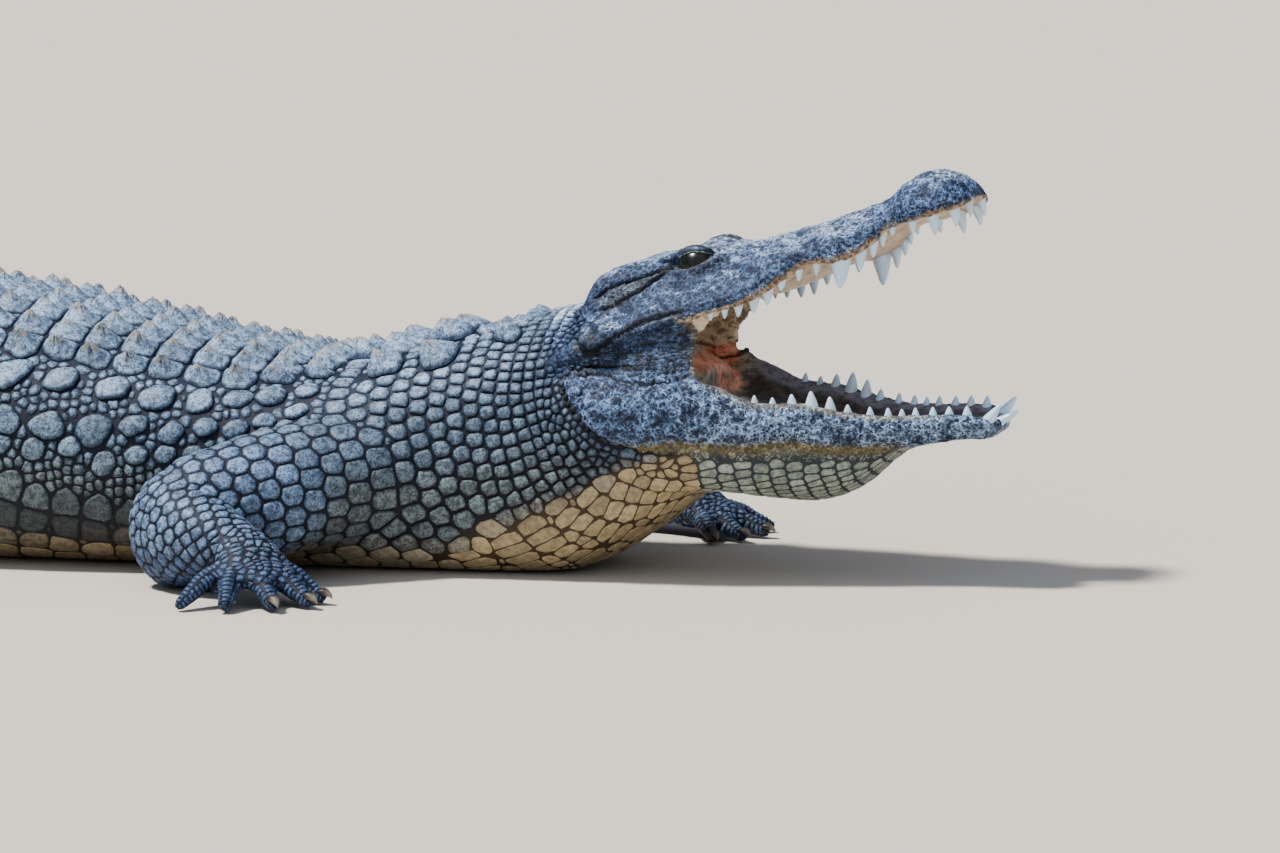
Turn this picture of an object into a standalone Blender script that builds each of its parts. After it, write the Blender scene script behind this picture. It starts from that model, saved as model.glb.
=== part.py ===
"""Basking Nile crocodile with its mouth agape: a still, life-size museum model.

Metres, +Z up, +X towards the snout, +Y the animal's left.  Everything is modelled
about the back of the skull and moved to the bottom centre of its box at the end.
Each piece is a loft through named stations, parted from its neighbours by a thin gap.
"""
import math

import bmesh
import bpy
import numpy as np
from mathutils import Matrix, Vector

# ------------------------------------------------------------ driving dimensions
GAP = 0.0003                       # left between neighbouring pieces
SKULL_PITCH = math.radians(23.5)   # the upper jaw is lifted, the lower jaw lies level
SNOUT_ROLL = 0.10                  # the snout's left side lies lower, per metre across
SKULL_ORIGIN = np.array((0.020, 0.0, 0.243))     # between the jaw joints
SCUTE_PITCH = 0.0385               # one transverse row of the back shield
WHORL_PITCH = 0.042                # one ring of tail scales
TAIL_TIP = 2.56                    # along the spine from the back of the skull
TAIL_START = 1.06                  # along the spine
KEEL_PLACE = 0.68                  # of a row, from its low front edge to its raised keel
FRONT_LIFT = 0.25                  # of the keel's height left at a row's front edge
TRUNK_RING = 14                    # points round a ring
TAIL_RING = 12
JAW_SEAM = -0.0145                 # top of the lower jaw and cheeks, just under the skull
MOUTH_CORNER = 0.143

# spine: distance behind the skull, top of the back, half width, under side
BODY = (
    (-0.14, 0.215, 0.088, 0.104), (-0.06, 0.256, 0.116, 0.040), (0.00, 0.279, 0.129, 0.004),
    (0.08, 0.261, 0.134, -0.010), (0.18, 0.237, 0.146, -0.012), (0.26, 0.216, 0.160, -0.012),
    (0.36, 0.222, 0.178, -0.012), (0.48, 0.242, 0.200, -0.012), (0.62, 0.268, 0.215, -0.012),
    (0.76, 0.280, 0.212, -0.012), (0.90, 0.258, 0.188, -0.012), (1.02, 0.226, 0.155, -0.012),
    (1.15, 0.198, 0.118, -0.010), (1.40, 0.168, 0.086, -0.008), (1.70, 0.138, 0.060, -0.006),
    (2.00, 0.108, 0.041, -0.005), (2.30, 0.074, 0.025, -0.004), (TAIL_TIP, 0.022, 0.008, -0.002),
)
# how high the keels of the back stand, along the spine
KEELS = ((-0.14, 0.0), (0.04, 0.0), (0.075, 0.008), (0.115, 0.004), (0.16, 0.013), (0.22, 0.014),
         (0.27, 0.006), (0.33, 0.015), (0.50, 0.018), (0.95, 0.016), (1.10, 0.012))
# tail crest: the paired outer rows, then the single row they run into
PAIRED_CREST = ((1.06, 0.010), (1.50, 0.020), (1.84, 0.028), (1.98, 0.006), (2.10, 0.0), (TAIL_TIP, 0.0))
SINGLE_CREST = ((1.06, 0.0), (1.80, 0.0), (1.98, 0.034), (2.20, 0.034), (2.45, 0.018), (TAIL_TIP, 0.004))
# heading of the tail in degrees to the animal's left
TAIL_BEND = ((-0.2, 0.0), (0.95, 0.0), (1.25, 8.0), (1.60, 20.0), (1.95, 16.0), (2.25, -6.0), (TAIL_TIP, -26.0))

# skull, in its own pitched plane: along the snout, crown height, brow (half width,
# height), temple (half width, height), widest line (half width, height), lip (half
# width, height), palate (half width, height), palate middle height
SKULL = (
    (-0.060, 0.030, 0.060, 0.024, 0.090, 0.015, 0.108, 0.000, 0.104, -0.013, 0.080, -0.013, -0.013),
    (0.000, 0.048, 0.064, 0.042, 0.090, 0.022, 0.122, 0.004, 0.114, -0.013, 0.090, -0.013, -0.013),
    (0.016, 0.061, 0.066, 0.058, 0.082, 0.030, 0.121, 0.006, 0.114, -0.013, 0.090, -0.013, -0.013),
    (0.060, 0.064, 0.060, 0.063, 0.080, 0.034, 0.117, 0.002, 0.110, -0.013, 0.090, -0.013, -0.013),
    (0.104, 0.056, 0.052, 0.057, 0.078, 0.030, 0.109, 0.000, 0.105, -0.013, 0.086, -0.013, -0.011),
    (0.130, 0.047, 0.049, 0.058, 0.078, 0.026, 0.104, 0.000, 0.100, -0.014, 0.082, -0.011, -0.009),
    (0.145, 0.042, 0.046, 0.051, 0.074, 0.024, 0.100, 0.000, 0.097, -0.0145, 0.079, -0.0115, -0.009),
    (0.160, 0.038, 0.041, 0.043, 0.070, 0.021, 0.096, 0.000, 0.094, -0.017, 0.076, -0.013, -0.011),
    (0.185, 0.034, 0.036, 0.036, 0.064, 0.019, 0.089, -0.001, 0.088, -0.0185, 0.072, -0.019, -0.022),
    (0.207, 0.032, 0.032, 0.033, 0.060, 0.017, 0.084, 0.000, 0.083, -0.017, 0.068, -0.019, -0.023),
    (0.228, 0.030, 0.029, 0.030, 0.057, 0.016, 0.080, 0.002, 0.079, -0.013, 0.064, -0.017, -0.022),
    (0.250, 0.027, 0.027, 0.027, 0.055, 0.015, 0.077, 0.001, 0.075, -0.012, 0.060, -0.016, -0.021),
    (0.280, 0.025, 0.024, 0.025, 0.053, 0.014, 0.077, -0.003, 0.074, -0.022, 0.058, -0.020, -0.023),
    (0.310, 0.023, 0.021, 0.023, 0.043, 0.015, 0.063, -0.001, 0.061, -0.017, 0.048, -0.018, -0.020),
    (0.336, 0.023, 0.020, 0.024, 0.036, 0.016, 0.050, 0.003, 0.048, -0.006, 0.038, -0.009, -0.012),
    (0.366, 0.033, 0.022, 0.033, 0.040, 0.023, 0.054, 0.007, 0.052, -0.010, 0.040, -0.009, -0.009),
    (0.390, 0.031, 0.022, 0.031, 0.040, 0.023, 0.055, 0.006, 0.052, -0.013, 0.038, -0.010, -0.009),
    (0.409, 0.024, 0.018, 0.023, 0.031, 0.018, 0.044, 0.004, 0.042, -0.014, 0.026, -0.011, -0.010),
    (0.419, 0.014, 0.012, 0.013, 0.020, 0.009, 0.029, 0.001, 0.027, -0.012, 0.014, -0.010, -0.010),
    (0.4245, 0.003, 0.004, 0.003, 0.007, 0.003, 0.010, -0.001, 0.009, -0.007, 0.005, -0.007, -0.007),
)
SKULL_STEPS = (-0.06, 0.0, 0.016, 0.06, 0.1, 0.115, 0.13, 0.145, 0.16, 0.18, 0.205, 0.23, 0.255, 0.28, 0.3,
               0.318, 0.336, 0.35, 0.367, 0.388, 0.405, 0.417, 0.4245)

# lower jaw, along X: tongue height, floor (half width, height), rim inside (half width,
# height), rim (half width, height), widest (half width, height), jaw base (half width,
# height), throat side (half width, height), throat middle height
JAW = (
    (-0.080, 0.190, 0.040, 0.190, 0.070, 0.195, 0.085, 0.195, 0.100, 0.150, 0.090, 0.090, 0.060, 0.030, 0.010),
    (-0.035, 0.206, 0.048, 0.206, 0.084, 0.217, 0.102, 0.220, 0.121, 0.168, 0.112, 0.100, 0.078, 0.038, 0.008),
    (0.000, 0.214, 0.050, 0.212, 0.090, 0.225, 0.116, 0.228, 0.137, 0.176, 0.126, 0.110, 0.085, 0.045, 0.012),
    (0.060, 0.205, 0.050, 0.200, 0.090, 0.214, 0.118, 0.222, 0.138, 0.182, 0.124, 0.135, 0.086, 0.072, 0.048),
    (0.110, 0.196, 0.050, 0.190, 0.088, 0.206, 0.114, 0.216, 0.130, 0.180, 0.116, 0.137, 0.084, 0.096, 0.088),
    (0.150, 0.188, 0.046, 0.182, 0.082, 0.204, 0.106, 0.210, 0.118, 0.175, 0.104, 0.136, 0.076, 0.100, 0.090),
    (0.197, 0.180, 0.040, 0.173, 0.078, 0.189, 0.096, 0.193, 0.104, 0.170, 0.092, 0.137, 0.066, 0.098, 0.085),
    (0.245, 0.174, 0.034, 0.168, 0.066, 0.186, 0.082, 0.192, 0.089, 0.168, 0.078, 0.140, 0.054, 0.102, 0.083),
    (0.290, 0.171, 0.028, 0.167, 0.050, 0.178, 0.065, 0.183, 0.072, 0.166, 0.062, 0.144, 0.042, 0.114, 0.100),
    (0.335, 0.170, 0.022, 0.169, 0.040, 0.178, 0.053, 0.180, 0.059, 0.167, 0.048, 0.149, 0.032, 0.143, 0.138),
    (0.375, 0.173, 0.018, 0.173, 0.036, 0.180, 0.048, 0.182, 0.053, 0.170, 0.043, 0.155, 0.026, 0.151, 0.150),
    (0.408, 0.175, 0.014, 0.175, 0.032, 0.181, 0.044, 0.183, 0.048, 0.173, 0.038, 0.160, 0.022, 0.156, 0.155),
    (0.430, 0.175, 0.008, 0.175, 0.020, 0.178, 0.029, 0.179, 0.032, 0.173, 0.025, 0.163, 0.014, 0.160, 0.159),
    (0.4395, 0.174, 0.002, 0.174, 0.005, 0.175, 0.008, 0.175, 0.009, 0.171, 0.007, 0.167, 0.004, 0.166, 0.166),
)
JAW_STEPS = (-0.08, 0.0, 0.035, 0.075, 0.115, 0.15, 0.18, 0.21, 0.24, 0.27, 0.3, 0.33, 0.36, 0.385,
             0.408, 0.422, 0.432, 0.4395)

# teeth: place along the jaw, length, radius
UPPER_TEETH = ((0.137, 0.008, 0.0032), (0.152, 0.010, 0.0042), (0.166, 0.012, 0.0050), (0.183, 0.015, 0.0062),
               (0.199, 0.016, 0.0060), (0.216, 0.012, 0.0056), (0.237, 0.014, 0.0048), (0.256, 0.014, 0.0048),
               (0.280, 0.028, 0.0098), (0.301, 0.020, 0.0064), (0.315, 0.016, 0.0054), (0.326, 0.014, 0.0048),
               (0.337, 0.011, 0.0044), (0.360, 0.015, 0.0048), (0.383, 0.022, 0.0064), (0.404, 0.019, 0.0062),
               (0.416, 0.014, 0.0046))
LOWER_TEETH = ((0.197, 0.009, 0.0040), (0.215, 0.008, 0.0040), (0.234, 0.011, 0.0050), (0.253, 0.016, 0.0062),
               (0.271, 0.014, 0.0056), (0.288, 0.009, 0.0045), (0.310, 0.009, 0.0042), (0.328, 0.009, 0.0042),
               (0.342, 0.008, 0.0040), (0.356, 0.009, 0.0042), (0.374, 0.009, 0.0045), (0.391, 0.009, 0.0048),
               (0.409, 0.010, 0.0050), (0.428, 0.021, 0.0060), (0.4355, 0.014, 0.0050))
EYE_CENTRE = (0.129, 0.0505, 0.0375)    # in the skull's plane
EYE_RADIUS = 0.0205

# limbs, upper then lower length: (x, y, z) with the half width and half height there
ARM_RIGHT = (
    ((-0.205, -0.105, 0.105, 0.066, 0.070), (-0.285, -0.185, 0.094, 0.062, 0.068),
     (-0.350, -0.246, 0.078, 0.054, 0.062)),
    ((-0.372, -0.264, 0.061, 0.052, 0.064), (-0.344, -0.288, 0.060, 0.048, 0.054),
     (-0.312, -0.303, 0.056, 0.040, 0.040), (-0.284, -0.312, 0.050, 0.034, 0.028)))
ARM_LEFT = (
    ((-0.205, 0.105, 0.105, 0.066, 0.070), (-0.175, 0.195, 0.090, 0.060, 0.066),
     (-0.140, 0.262, 0.066, 0.052, 0.056)),
    ((-0.125, 0.280, 0.058, 0.050, 0.060), (-0.075, 0.272, 0.048, 0.044, 0.046),
     (-0.025, 0.258, 0.038, 0.038, 0.034), (0.012, 0.246, 0.034, 0.035, 0.026)))
LEG_RIGHT = (
    ((-1.010, -0.060, 0.118, 0.088, 0.082), (-0.930, -0.175, 0.112, 0.080, 0.078),
     (-0.868, -0.270, 0.088, 0.062, 0.066)),
    ((-0.868, -0.312, 0.076, 0.060, 0.066), (-0.925, -0.346, 0.062, 0.052, 0.054),
     (-0.985, -0.362, 0.046, 0.043, 0.042), (-1.020, -0.374, 0.036, 0.040, 0.031)))
LEG_LEFT = (
    ((-1.010, 0.080, 0.118, 0.088, 0.082), (-0.945, 0.190, 0.112, 0.080, 0.078),
     (-0.895, 0.282, 0.088, 0.062, 0.066)),
    ((-0.905, 0.322, 0.076, 0.060, 0.066), (-0.970, 0.352, 0.062, 0.052, 0.054),
     (-1.036, 0.370, 0.046, 0.043, 0.042), (-1.072, 0.384, 0.036, 0.040, 0.031)))
# the paw: heading of its middle digit, height of the knuckles, then for each digit its
# spread from there in degrees, its length past the knuckles and its radius
HAND_RIGHT = (-44.0, 0.034, ((38.0, 0.042, 0.0125), (19.0, 0.052, 0.0130), (-4.0, 0.050, 0.0135),
                             (-34.0, 0.044, 0.0125), (-74.0, 0.042, 0.0110)))
HAND_LEFT = (-10.0, 0.026, ((-42.0, 0.042, 0.0115), (-20.0, 0.052, 0.0120), (2.0, 0.056, 0.0120),
                            (26.0, 0.050, 0.0110), (54.0, 0.042, 0.0100)))
FOOT_RIGHT = (-35.0, 0.020, ((24.0, 0.085, 0.0135), (4.0, 0.112, 0.0140), (-16.0, 0.118, 0.0140),
                             (-40.0, 0.098, 0.0110)))
FOOT_LEFT = (35.0, 0.020, ((-24.0, 0.085, 0.0135), (-4.0, 0.112, 0.0140), (16.0, 0.118, 0.0140),
                           (40.0, 0.098, 0.0110)))
PALM = 0.042                       # wrist to knuckles
CLAWED_DIGITS = 3
DIGIT_ROOT = 0.014                 # how far a digit starts behind the knuckles
KNUCKLE_FAN = 0.034                # how far aside it starts, by the sine of its spread

# ------------------------------------------------------------------ working tools
for old in list(bpy.data.objects):
    bpy.data.objects.remove(old)
parts = bpy.data.collections.new("crocodile")
cutters = bpy.data.collections.new("cutters")
for collection in (parts, cutters):
    bpy.context.scene.collection.children.link(collection)
origin = bpy.data.objects.new("crocodile_origin", None)
parts.objects.link(origin)


def material(name, colour, roughness):
    """A plain Principled finish."""
    made = bpy.data.materials.new(name)
    made.use_nodes = True
    shader = made.node_tree.nodes["Principled BSDF"]
    shader.inputs["Base Color"].default_value = (*colour, 1.0)
    shader.inputs["Roughness"].default_value = roughness
    made.diffuse_color = (*colour, 1.0)
    return made


HIDE = material("slate_hide", (0.17, 0.21, 0.27), 0.55)
BACK = material("olive_hide", (0.22, 0.25, 0.22), 0.60)
LIMB = material("limb_hide", (0.16, 0.20, 0.26), 0.55)
JAW_HIDE = material("jaw_hide", (0.20, 0.24, 0.31), 0.50)
HORN = material("claw_horn", (0.42, 0.38, 0.32), 0.40)
EYE = material("eye", (0.05, 0.06, 0.05), 0.10)


def curve(stations, at):
    """Rows of a station table read off a smooth curve at the places given."""
    table = np.array(stations, float)
    keys, values = table[:, 0], table[:, 1:]
    slope = np.gradient(values, keys, axis=0)
    at = np.atleast_1d(np.asarray(at, float))
    i = np.clip(np.searchsorted(keys, at) - 1, 0, len(keys) - 2)
    step = (keys[i + 1] - keys[i])[:, None]
    a = (at[:, None] - keys[i][:, None]) / step
    return ((2 * a ** 3 - 3 * a ** 2 + 1) * values[i] + (a ** 3 - 2 * a ** 2 + a) * step * slope[i]
            + (3 * a ** 2 - 2 * a ** 3) * values[i + 1] + (a ** 3 - a ** 2) * step * slope[i + 1])


def loft(rings):
    """A bmesh through rings of points (stations x ring x 3), its ends closed by fans."""
    made = bmesh.new()
    rows = [[made.verts.new(point) for point in ring] for ring in rings]
    for low, high in zip(rows[:-1], rows[1:]):
        for k in range(len(low)):
            after = (k + 1) % len(low)
            made.faces.new((low[k], low[after], high[after], high[k]))
    for row in (rows[0], rows[-1]):
        hub = made.verts.new(sum((vertex.co for vertex in row), Vector()) / len(row))
        for k, vertex in enumerate(row):
            made.faces.new((vertex, row[(k + 1) % len(row)], hub))
    bmesh.ops.recalc_face_normals(made, faces=made.faces)
    return made


def cut(made, point, normal):
    """Keep what lies behind a plane and close the cut."""
    whole = made.verts[:] + made.edges[:] + made.faces[:]
    bmesh.ops.bisect_plane(made, geom=whole, dist=1e-6, plane_co=Vector(point), plane_no=Vector(normal),
                           clear_outer=True)
    rim = [edge for edge in made.edges if edge.is_boundary]
    bmesh.ops.contextual_create(made, geom=rim)
    bmesh.ops.recalc_face_normals(made, faces=made.faces)
    return made


def piece(name, made, finish, folder=parts):
    """A named object from a bmesh."""
    bmesh.ops.triangulate(made, faces=made.faces)
    mesh = bpy.data.meshes.new(name)
    made.to_mesh(mesh)
    made.free()
    mesh.materials.append(finish)
    built = bpy.data.objects.new(name, mesh)
    built.parent = origin
    folder.objects.link(built)
    if folder is cutters:
        built.hide_render = True
        built.display_type = "WIRE"
    return built


def boolean(target, tool, operation):
    """A live exact Boolean on a piece."""
    made = target.modifiers.new(operation.lower() + "_" + tool.name, "BOOLEAN")
    made.operation = operation
    made.solver = "EXACT"
    made.object = tool


def skull_point(along, across, up):
    """From the skull's pitched plane to the model's frame."""
    c, s = math.cos(SKULL_PITCH), math.sin(SKULL_PITCH)
    roll = np.clip((along - 0.16) / 0.08, 0.0, 1.0)
    up = up - across * SNOUT_ROLL * roll * roll * (3.0 - 2.0 * roll)
    return np.stack(np.broadcast_arrays(SKULL_ORIGIN[0] + along * c - up * s, across,
                                        SKULL_ORIGIN[2] + along * s + up * c), -1)


SKULL_AXIS = skull_point(1.0, 0.0, 0.0) - skull_point(0.0, 0.0, 0.0)
SKULL_UP = skull_point(0.0, 0.0, 1.0) - skull_point(0.0, 0.0, 0.0)
HEAD_END = skull_point(-0.018, 0.0, 0.0)       # the plane where head and neck meet

# ------------------------------------------------------------- neck, trunk and tail
path_steps = np.linspace(-0.2, TAIL_TIP, 600)
path_heading = np.radians(curve(TAIL_BEND, path_steps)[:, 0])
path_move = np.diff(path_steps, prepend=path_steps[0])
path_x = 0.2 - np.cumsum(path_move * np.cos(path_heading))
path_y = np.cumsum(path_move * np.sin(path_heading))


def body_rings(steps, raised, count, grow):
    """Rings of the body, taller than wide in the tail, with keels on the raised steps."""
    top, half, under = curve(BODY, steps).T
    keel = curve(KEELS, np.minimum(steps, KEELS[-1][0]))[:, 0]
    paired, single = (np.where(steps > TAIL_START, curve(rows, steps)[:, 0], 0.0)
                      for rows in (PAIRED_CREST, SINGLE_CREST))
    keel = np.where(steps > TAIL_START, 0.0, keel)
    angle = np.arange(count) * math.tau / count
    c, s = np.cos(angle), np.sin(angle)
    lift = np.where(raised, 1.0, FRONT_LIFT)[:, None]
    middle = np.maximum(under, 0.0) + 0.42 * (top - np.maximum(under, 0.0))
    round_off = np.sign(s) * np.abs(s) ** 0.85
    across = half[:, None] * np.sign(c) * np.abs(c) ** 0.80
    height = middle[:, None] + round_off * np.where(s > 0, (top - middle)[:, None], (middle - under)[:, None])
    back = np.clip(s * 3.0, 0.0, 1.0)
    height = height + lift * keel[:, None] * back
    across = across * (1.0 + lift * 0.35 * keel[:, None] / half[:, None] * np.clip(s * 4.0, 0.0, 1.0))
    pair = np.exp(-((np.abs(c) - 0.5) / 0.12) ** 2) * (s > 0.5)
    crown = np.exp(-(c / 0.2) ** 2) * (s > 0.5)
    height = height + lift * (paired[:, None] * pair + single[:, None] * crown)
    height = height + grow * s
    across = across + grow * c
    heading = np.radians(curve(TAIL_BEND, steps)[:, 0])
    x = np.interp(steps, path_steps, path_x)
    y = np.interp(steps, path_steps, path_y)
    ring = np.stack((x[:, None] + across * np.sin(heading)[:, None],
                     y[:, None] + across * np.cos(heading)[:, None],
                     np.maximum(height, 0.0 - grow * 4)), -1)
    return ring


def scaled_steps(start, end, pitch):
    """Two steps for each row of scales: its low front edge and its raised keel."""
    fronts = np.arange(start, end, pitch)
    steps = np.sort(np.concatenate((fronts, fronts + KEEL_PLACE * pitch)))
    raised = (np.arange(len(steps)) % 2) == 1
    return steps, raised


trunk_steps, trunk_raised = scaled_steps(-0.134, 1.12, SCUTE_PITCH)
tail_steps, tail_raised = scaled_steps(1.00, TAIL_TIP - WHORL_PITCH, WHORL_PITCH)
tail_steps = np.append(tail_steps, (TAIL_TIP - 0.02, TAIL_TIP))
tail_raised = np.append(tail_raised, (True, False))
head_plane = (HEAD_END - SKULL_AXIS * GAP, SKULL_AXIS)
cuts = (("trunk_front", 0.262), ("trunk_rear", 0.66), ("tail_base", TAIL_START), ("tail_fore", 1.44),
        ("tail_middle", 1.84), ("tail_end", 2.20))


def spine_plane(at, side):
    """The upright plane across the spine, half a gap to one side of it."""
    heading = math.radians(curve(TAIL_BEND, at)[0, 0])
    back = np.array((-math.cos(heading), math.sin(heading), 0.0))
    place = np.array((np.interp(at, path_steps, path_x), np.interp(at, path_steps, path_y), 0.1))
    return place + back * side * GAP / 2, back


names = ["neck"] + [name for name, _ in cuts]
ends = [None] + [at for _, at in cuts] + [None]
for name, front, rear in zip(names, ends[:-1], ends[1:]):
    tail = front is not None and front >= TAIL_START
    steps, raised, count = (tail_steps, tail_raised, TAIL_RING) if tail else (trunk_steps, trunk_raised, TRUNK_RING)
    near = (steps > (front or -1.0) - 0.09) & (steps < (rear or 9.0) + 0.09)
    made = loft(body_rings(steps[near], raised[near], count, 0.0))
    if front is None:
        cut(made, *head_plane)
    else:
        place, back = spine_plane(front, 1.0)
        cut(made, place, -back)
    if rear is not None:
        cut(made, *spine_plane(rear, -1.0))
    piece(name, made, BACK)

clearance_steps = np.concatenate((trunk_steps, tail_steps[tail_steps > 1.16][:20]))
clearance_raised = np.concatenate((trunk_raised, tail_raised[tail_steps > 1.16][:20]))
body_clearance = piece("body_clearance", loft(body_rings(clearance_steps, clearance_raised, TRUNK_RING, GAP)), BACK,
                       cutters)


# ----------------------------------------------------------------- skull and lower jaw
def mirrored(half):
    """Rings from half sections given from the top middle to the bottom middle."""
    other = half[:, -2:0:-1] * np.array((1.0, -1.0, 1.0))
    return np.concatenate((half, other), 1)


def skull_rings(steps):
    """Rings of the skull and upper jaw."""
    crown, *rest, roof = curve(SKULL, steps).T
    half = [skull_point(np.array(steps), 0.0 * crown, crown)]
    half += [skull_point(np.array(steps), wide, high) for wide, high in zip(rest[0::2], rest[1::2])]
    half += [skull_point(np.array(steps), 0.0 * crown, roof)]
    return mirrored(np.stack(half, 1))


def jaw_rings(steps):
    """Rings of the lower jaw with the throat pouch under it."""
    tongue, *rest, throat = curve(JAW, steps).T
    x = np.array(steps)
    half = [np.stack((x, 0.0 * x, tongue), -1)]
    half += [np.stack((x, wide, high), -1) for wide, high in zip(rest[0::2], rest[1::2])]
    half += [np.stack((x, 0.0 * x, throat), -1)]
    return mirrored(np.stack(half, 1))


def add_tooth(made, root, tip, radius):
    """A conical tooth sunk a little way into the jaw."""
    root, tip = Vector(root), Vector(tip)
    axis = tip - root
    turn = axis.to_track_quat("Z", "Y").to_matrix().to_4x4()
    sunk = 0.25
    middle = root + axis * (0.5 - sunk / 2)
    sides = 5 if radius > 0.0061 else 4
    bmesh.ops.create_cone(made, cap_ends=True, segments=sides, radius1=radius * (1 + sunk), radius2=0.0,
                          depth=axis.length * (1 + sunk), matrix=Matrix.Translation(middle) @ turn)


upper_teeth, lower_teeth = bmesh.new(), bmesh.new()
for side in (-1.0, 1.0):
    for along, length, radius in UPPER_TEETH:
        row = curve(SKULL, along)[0]
        lip, lip_height = row[7], row[8]
        inset = 0.007 + 0.004 * np.clip((along - 0.40) / 0.016, 0.0, 1.0)
        gum = skull_point(along, side * (lip - inset), lip_height + 0.004)
        forward = np.interp(along, (0.30, 0.40), (-0.30, -0.12))
        lean = skull_point(forward, side * 0.12, -0.96) - skull_point(0.0, 0.0, 0.0)
        add_tooth(upper_teeth, gum, gum + lean * (length + 0.004), radius)
    for along, length, radius in LOWER_TEETH:
        row = curve(JAW, along)[0]
        rim, rim_height = row[5], row[6]
        gum = np.array((along, side * (rim - 0.006), rim_height - 0.004))
        forward = 0.1 + 1.5 * max(0.0, (along - 0.409) / 0.0265) ** 2
        lean = np.array((forward, side * 0.25, 1.0))
        add_tooth(lower_teeth, gum, gum + lean / np.linalg.norm(lean) * (length + 0.004), radius)
upper_teeth = piece("upper_teeth_tool", upper_teeth, HORN, cutters)
lower_teeth = piece("lower_teeth_tool", lower_teeth, HORN, cutters)

skull = cut(loft(skull_rings(SKULL_STEPS)), HEAD_END, -SKULL_AXIS)
head = piece("head", skull, HIDE)
boolean(head, upper_teeth, "UNION")
for side, name in ((-1.0, "right"), (1.0, "left")):
    centre = Vector(skull_point(EYE_CENTRE[0], side * EYE_CENTRE[1], EYE_CENTRE[2]))
    for label, radius, folder in (("eye_", EYE_RADIUS, parts), ("socket_", EYE_RADIUS + GAP * 1.5, cutters)):
        ball = bmesh.new()
        bmesh.ops.create_icosphere(ball, subdivisions=2, radius=radius, matrix=Matrix.Translation(centre))
        built = piece(label + name, ball, EYE, folder)
    boolean(head, built, "DIFFERENCE")

jaw = loft(jaw_rings(JAW_STEPS))
cut(jaw, skull_point(0.0, 0.0, JAW_SEAM), SKULL_UP)
cut(jaw, HEAD_END, -SKULL_AXIS)
lower_jaw = piece("lower_jaw", jaw, JAW_HIDE)

# cheeks: they close the gape behind the corner of the mouth, round a pocket
CHEEKS = ((-0.03, 0.128), (0.03, 0.128), (0.09, 0.120), (0.125, 0.112), (MOUTH_CORNER, 0.104))
CHEEK_FOOT, CHEEK_HEAD = 0.150, 0.330            # sunk in the jaw, and cut off under the skull
CHEEK_INSET = 0.004                              # behind the jaw's rim
UPPER_SHARE = 0.93                               # of a cheek's half width left at its top
# along the jaw, half width, floor and roof of the pocket
POCKET = ((0.060, 0.050, 0.222, 0.236), (0.100, 0.078, 0.202, 0.300), (0.150, 0.090, 0.160, 0.330))
cheek_rings = []
for along, wide in CHEEKS:
    wide = min(curve(JAW, along)[0, 7] - CHEEK_INSET, wide)
    foot, head_end = wide, wide * UPPER_SHARE
    cheek_rings.append(((along, -foot, CHEEK_FOOT), (along, foot, CHEEK_FOOT),
                        (along, head_end, CHEEK_HEAD), (along, -head_end, CHEEK_HEAD)))
cheeks = loft(np.array(cheek_rings))
cut(cheeks, skull_point(0.0, 0.0, JAW_SEAM - GAP), SKULL_UP)
cut(cheeks, HEAD_END + SKULL_AXIS * 0.002, -SKULL_AXIS)
cheeks = piece("cheeks", cheeks, JAW_HIDE, cutters)
pocket_rings = [((along, -wide, floor), (along, wide, floor), (along, wide, roof), (along, -wide, roof))
                for along, wide, floor, roof in POCKET]
pocket = piece("mouth_pocket", loft(np.array(pocket_rings)), JAW_HIDE, cutters)
boolean(cheeks, pocket, "DIFFERENCE")
boolean(lower_jaw, cheeks, "UNION")
boolean(lower_jaw, lower_teeth, "UNION")


# --------------------------------------------------------------------- limbs
def tube_rings(centres, wide, high, count, flat=0.0):
    """Rings along a path, each square to it and clamped to the floor."""
    forward = np.gradient(centres, axis=0)
    forward /= np.linalg.norm(forward, axis=1)[:, None]
    side = np.cross(np.array((0.0, 0.0, 1.0)), forward)
    side /= np.linalg.norm(side, axis=1)[:, None]
    up = np.cross(forward, side)
    angle = np.arange(count) * math.tau / count + math.pi / count
    ring = (centres[:, None] + side[:, None] * (wide[:, None] * np.cos(angle))[..., None]
            + up[:, None] * (high[:, None] * np.sin(angle))[..., None])
    ring[..., 2] = np.maximum(ring[..., 2], flat)
    return ring


LIMB_RING = 8
LIMB_STEPS = 4
DIGIT_RING = 6


def limb_length(stations, domes, grow=0.0):
    """A tube through the stations, with rounded ends where asked (at the start, at the end)."""
    keyed = [(i, *row) for i, row in enumerate(stations)]
    rows = curve(keyed, np.linspace(0, len(stations) - 1, LIMB_STEPS))
    centres, wide, high = rows[:, :3], rows[:, 3] + grow, rows[:, 4] + grow
    ahead = np.gradient(centres, axis=0)
    ahead /= np.linalg.norm(ahead, axis=1)[:, None]
    for domed, end, sign, place in zip(domes, (0, -1), (-1.0, 1.0), (0, None)):
        if not domed:
            continue
        turns = np.radians((38.0, 68.0))
        caps = centres[end] + sign * ahead[end] * (wide[end] * np.sin(turns))[:, None]
        slim = np.cos(turns)
        if place == 0:
            centres = np.concatenate((caps[::-1], centres))
            wide, high = (np.concatenate((slim[::-1] * value[0], value)) for value in (wide, high))
        else:
            centres = np.concatenate((centres, caps))
            wide, high = (np.concatenate((value, slim * value[-1])) for value in (wide, high))
    return tube_rings(centres, wide, high, LIMB_RING)


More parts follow.
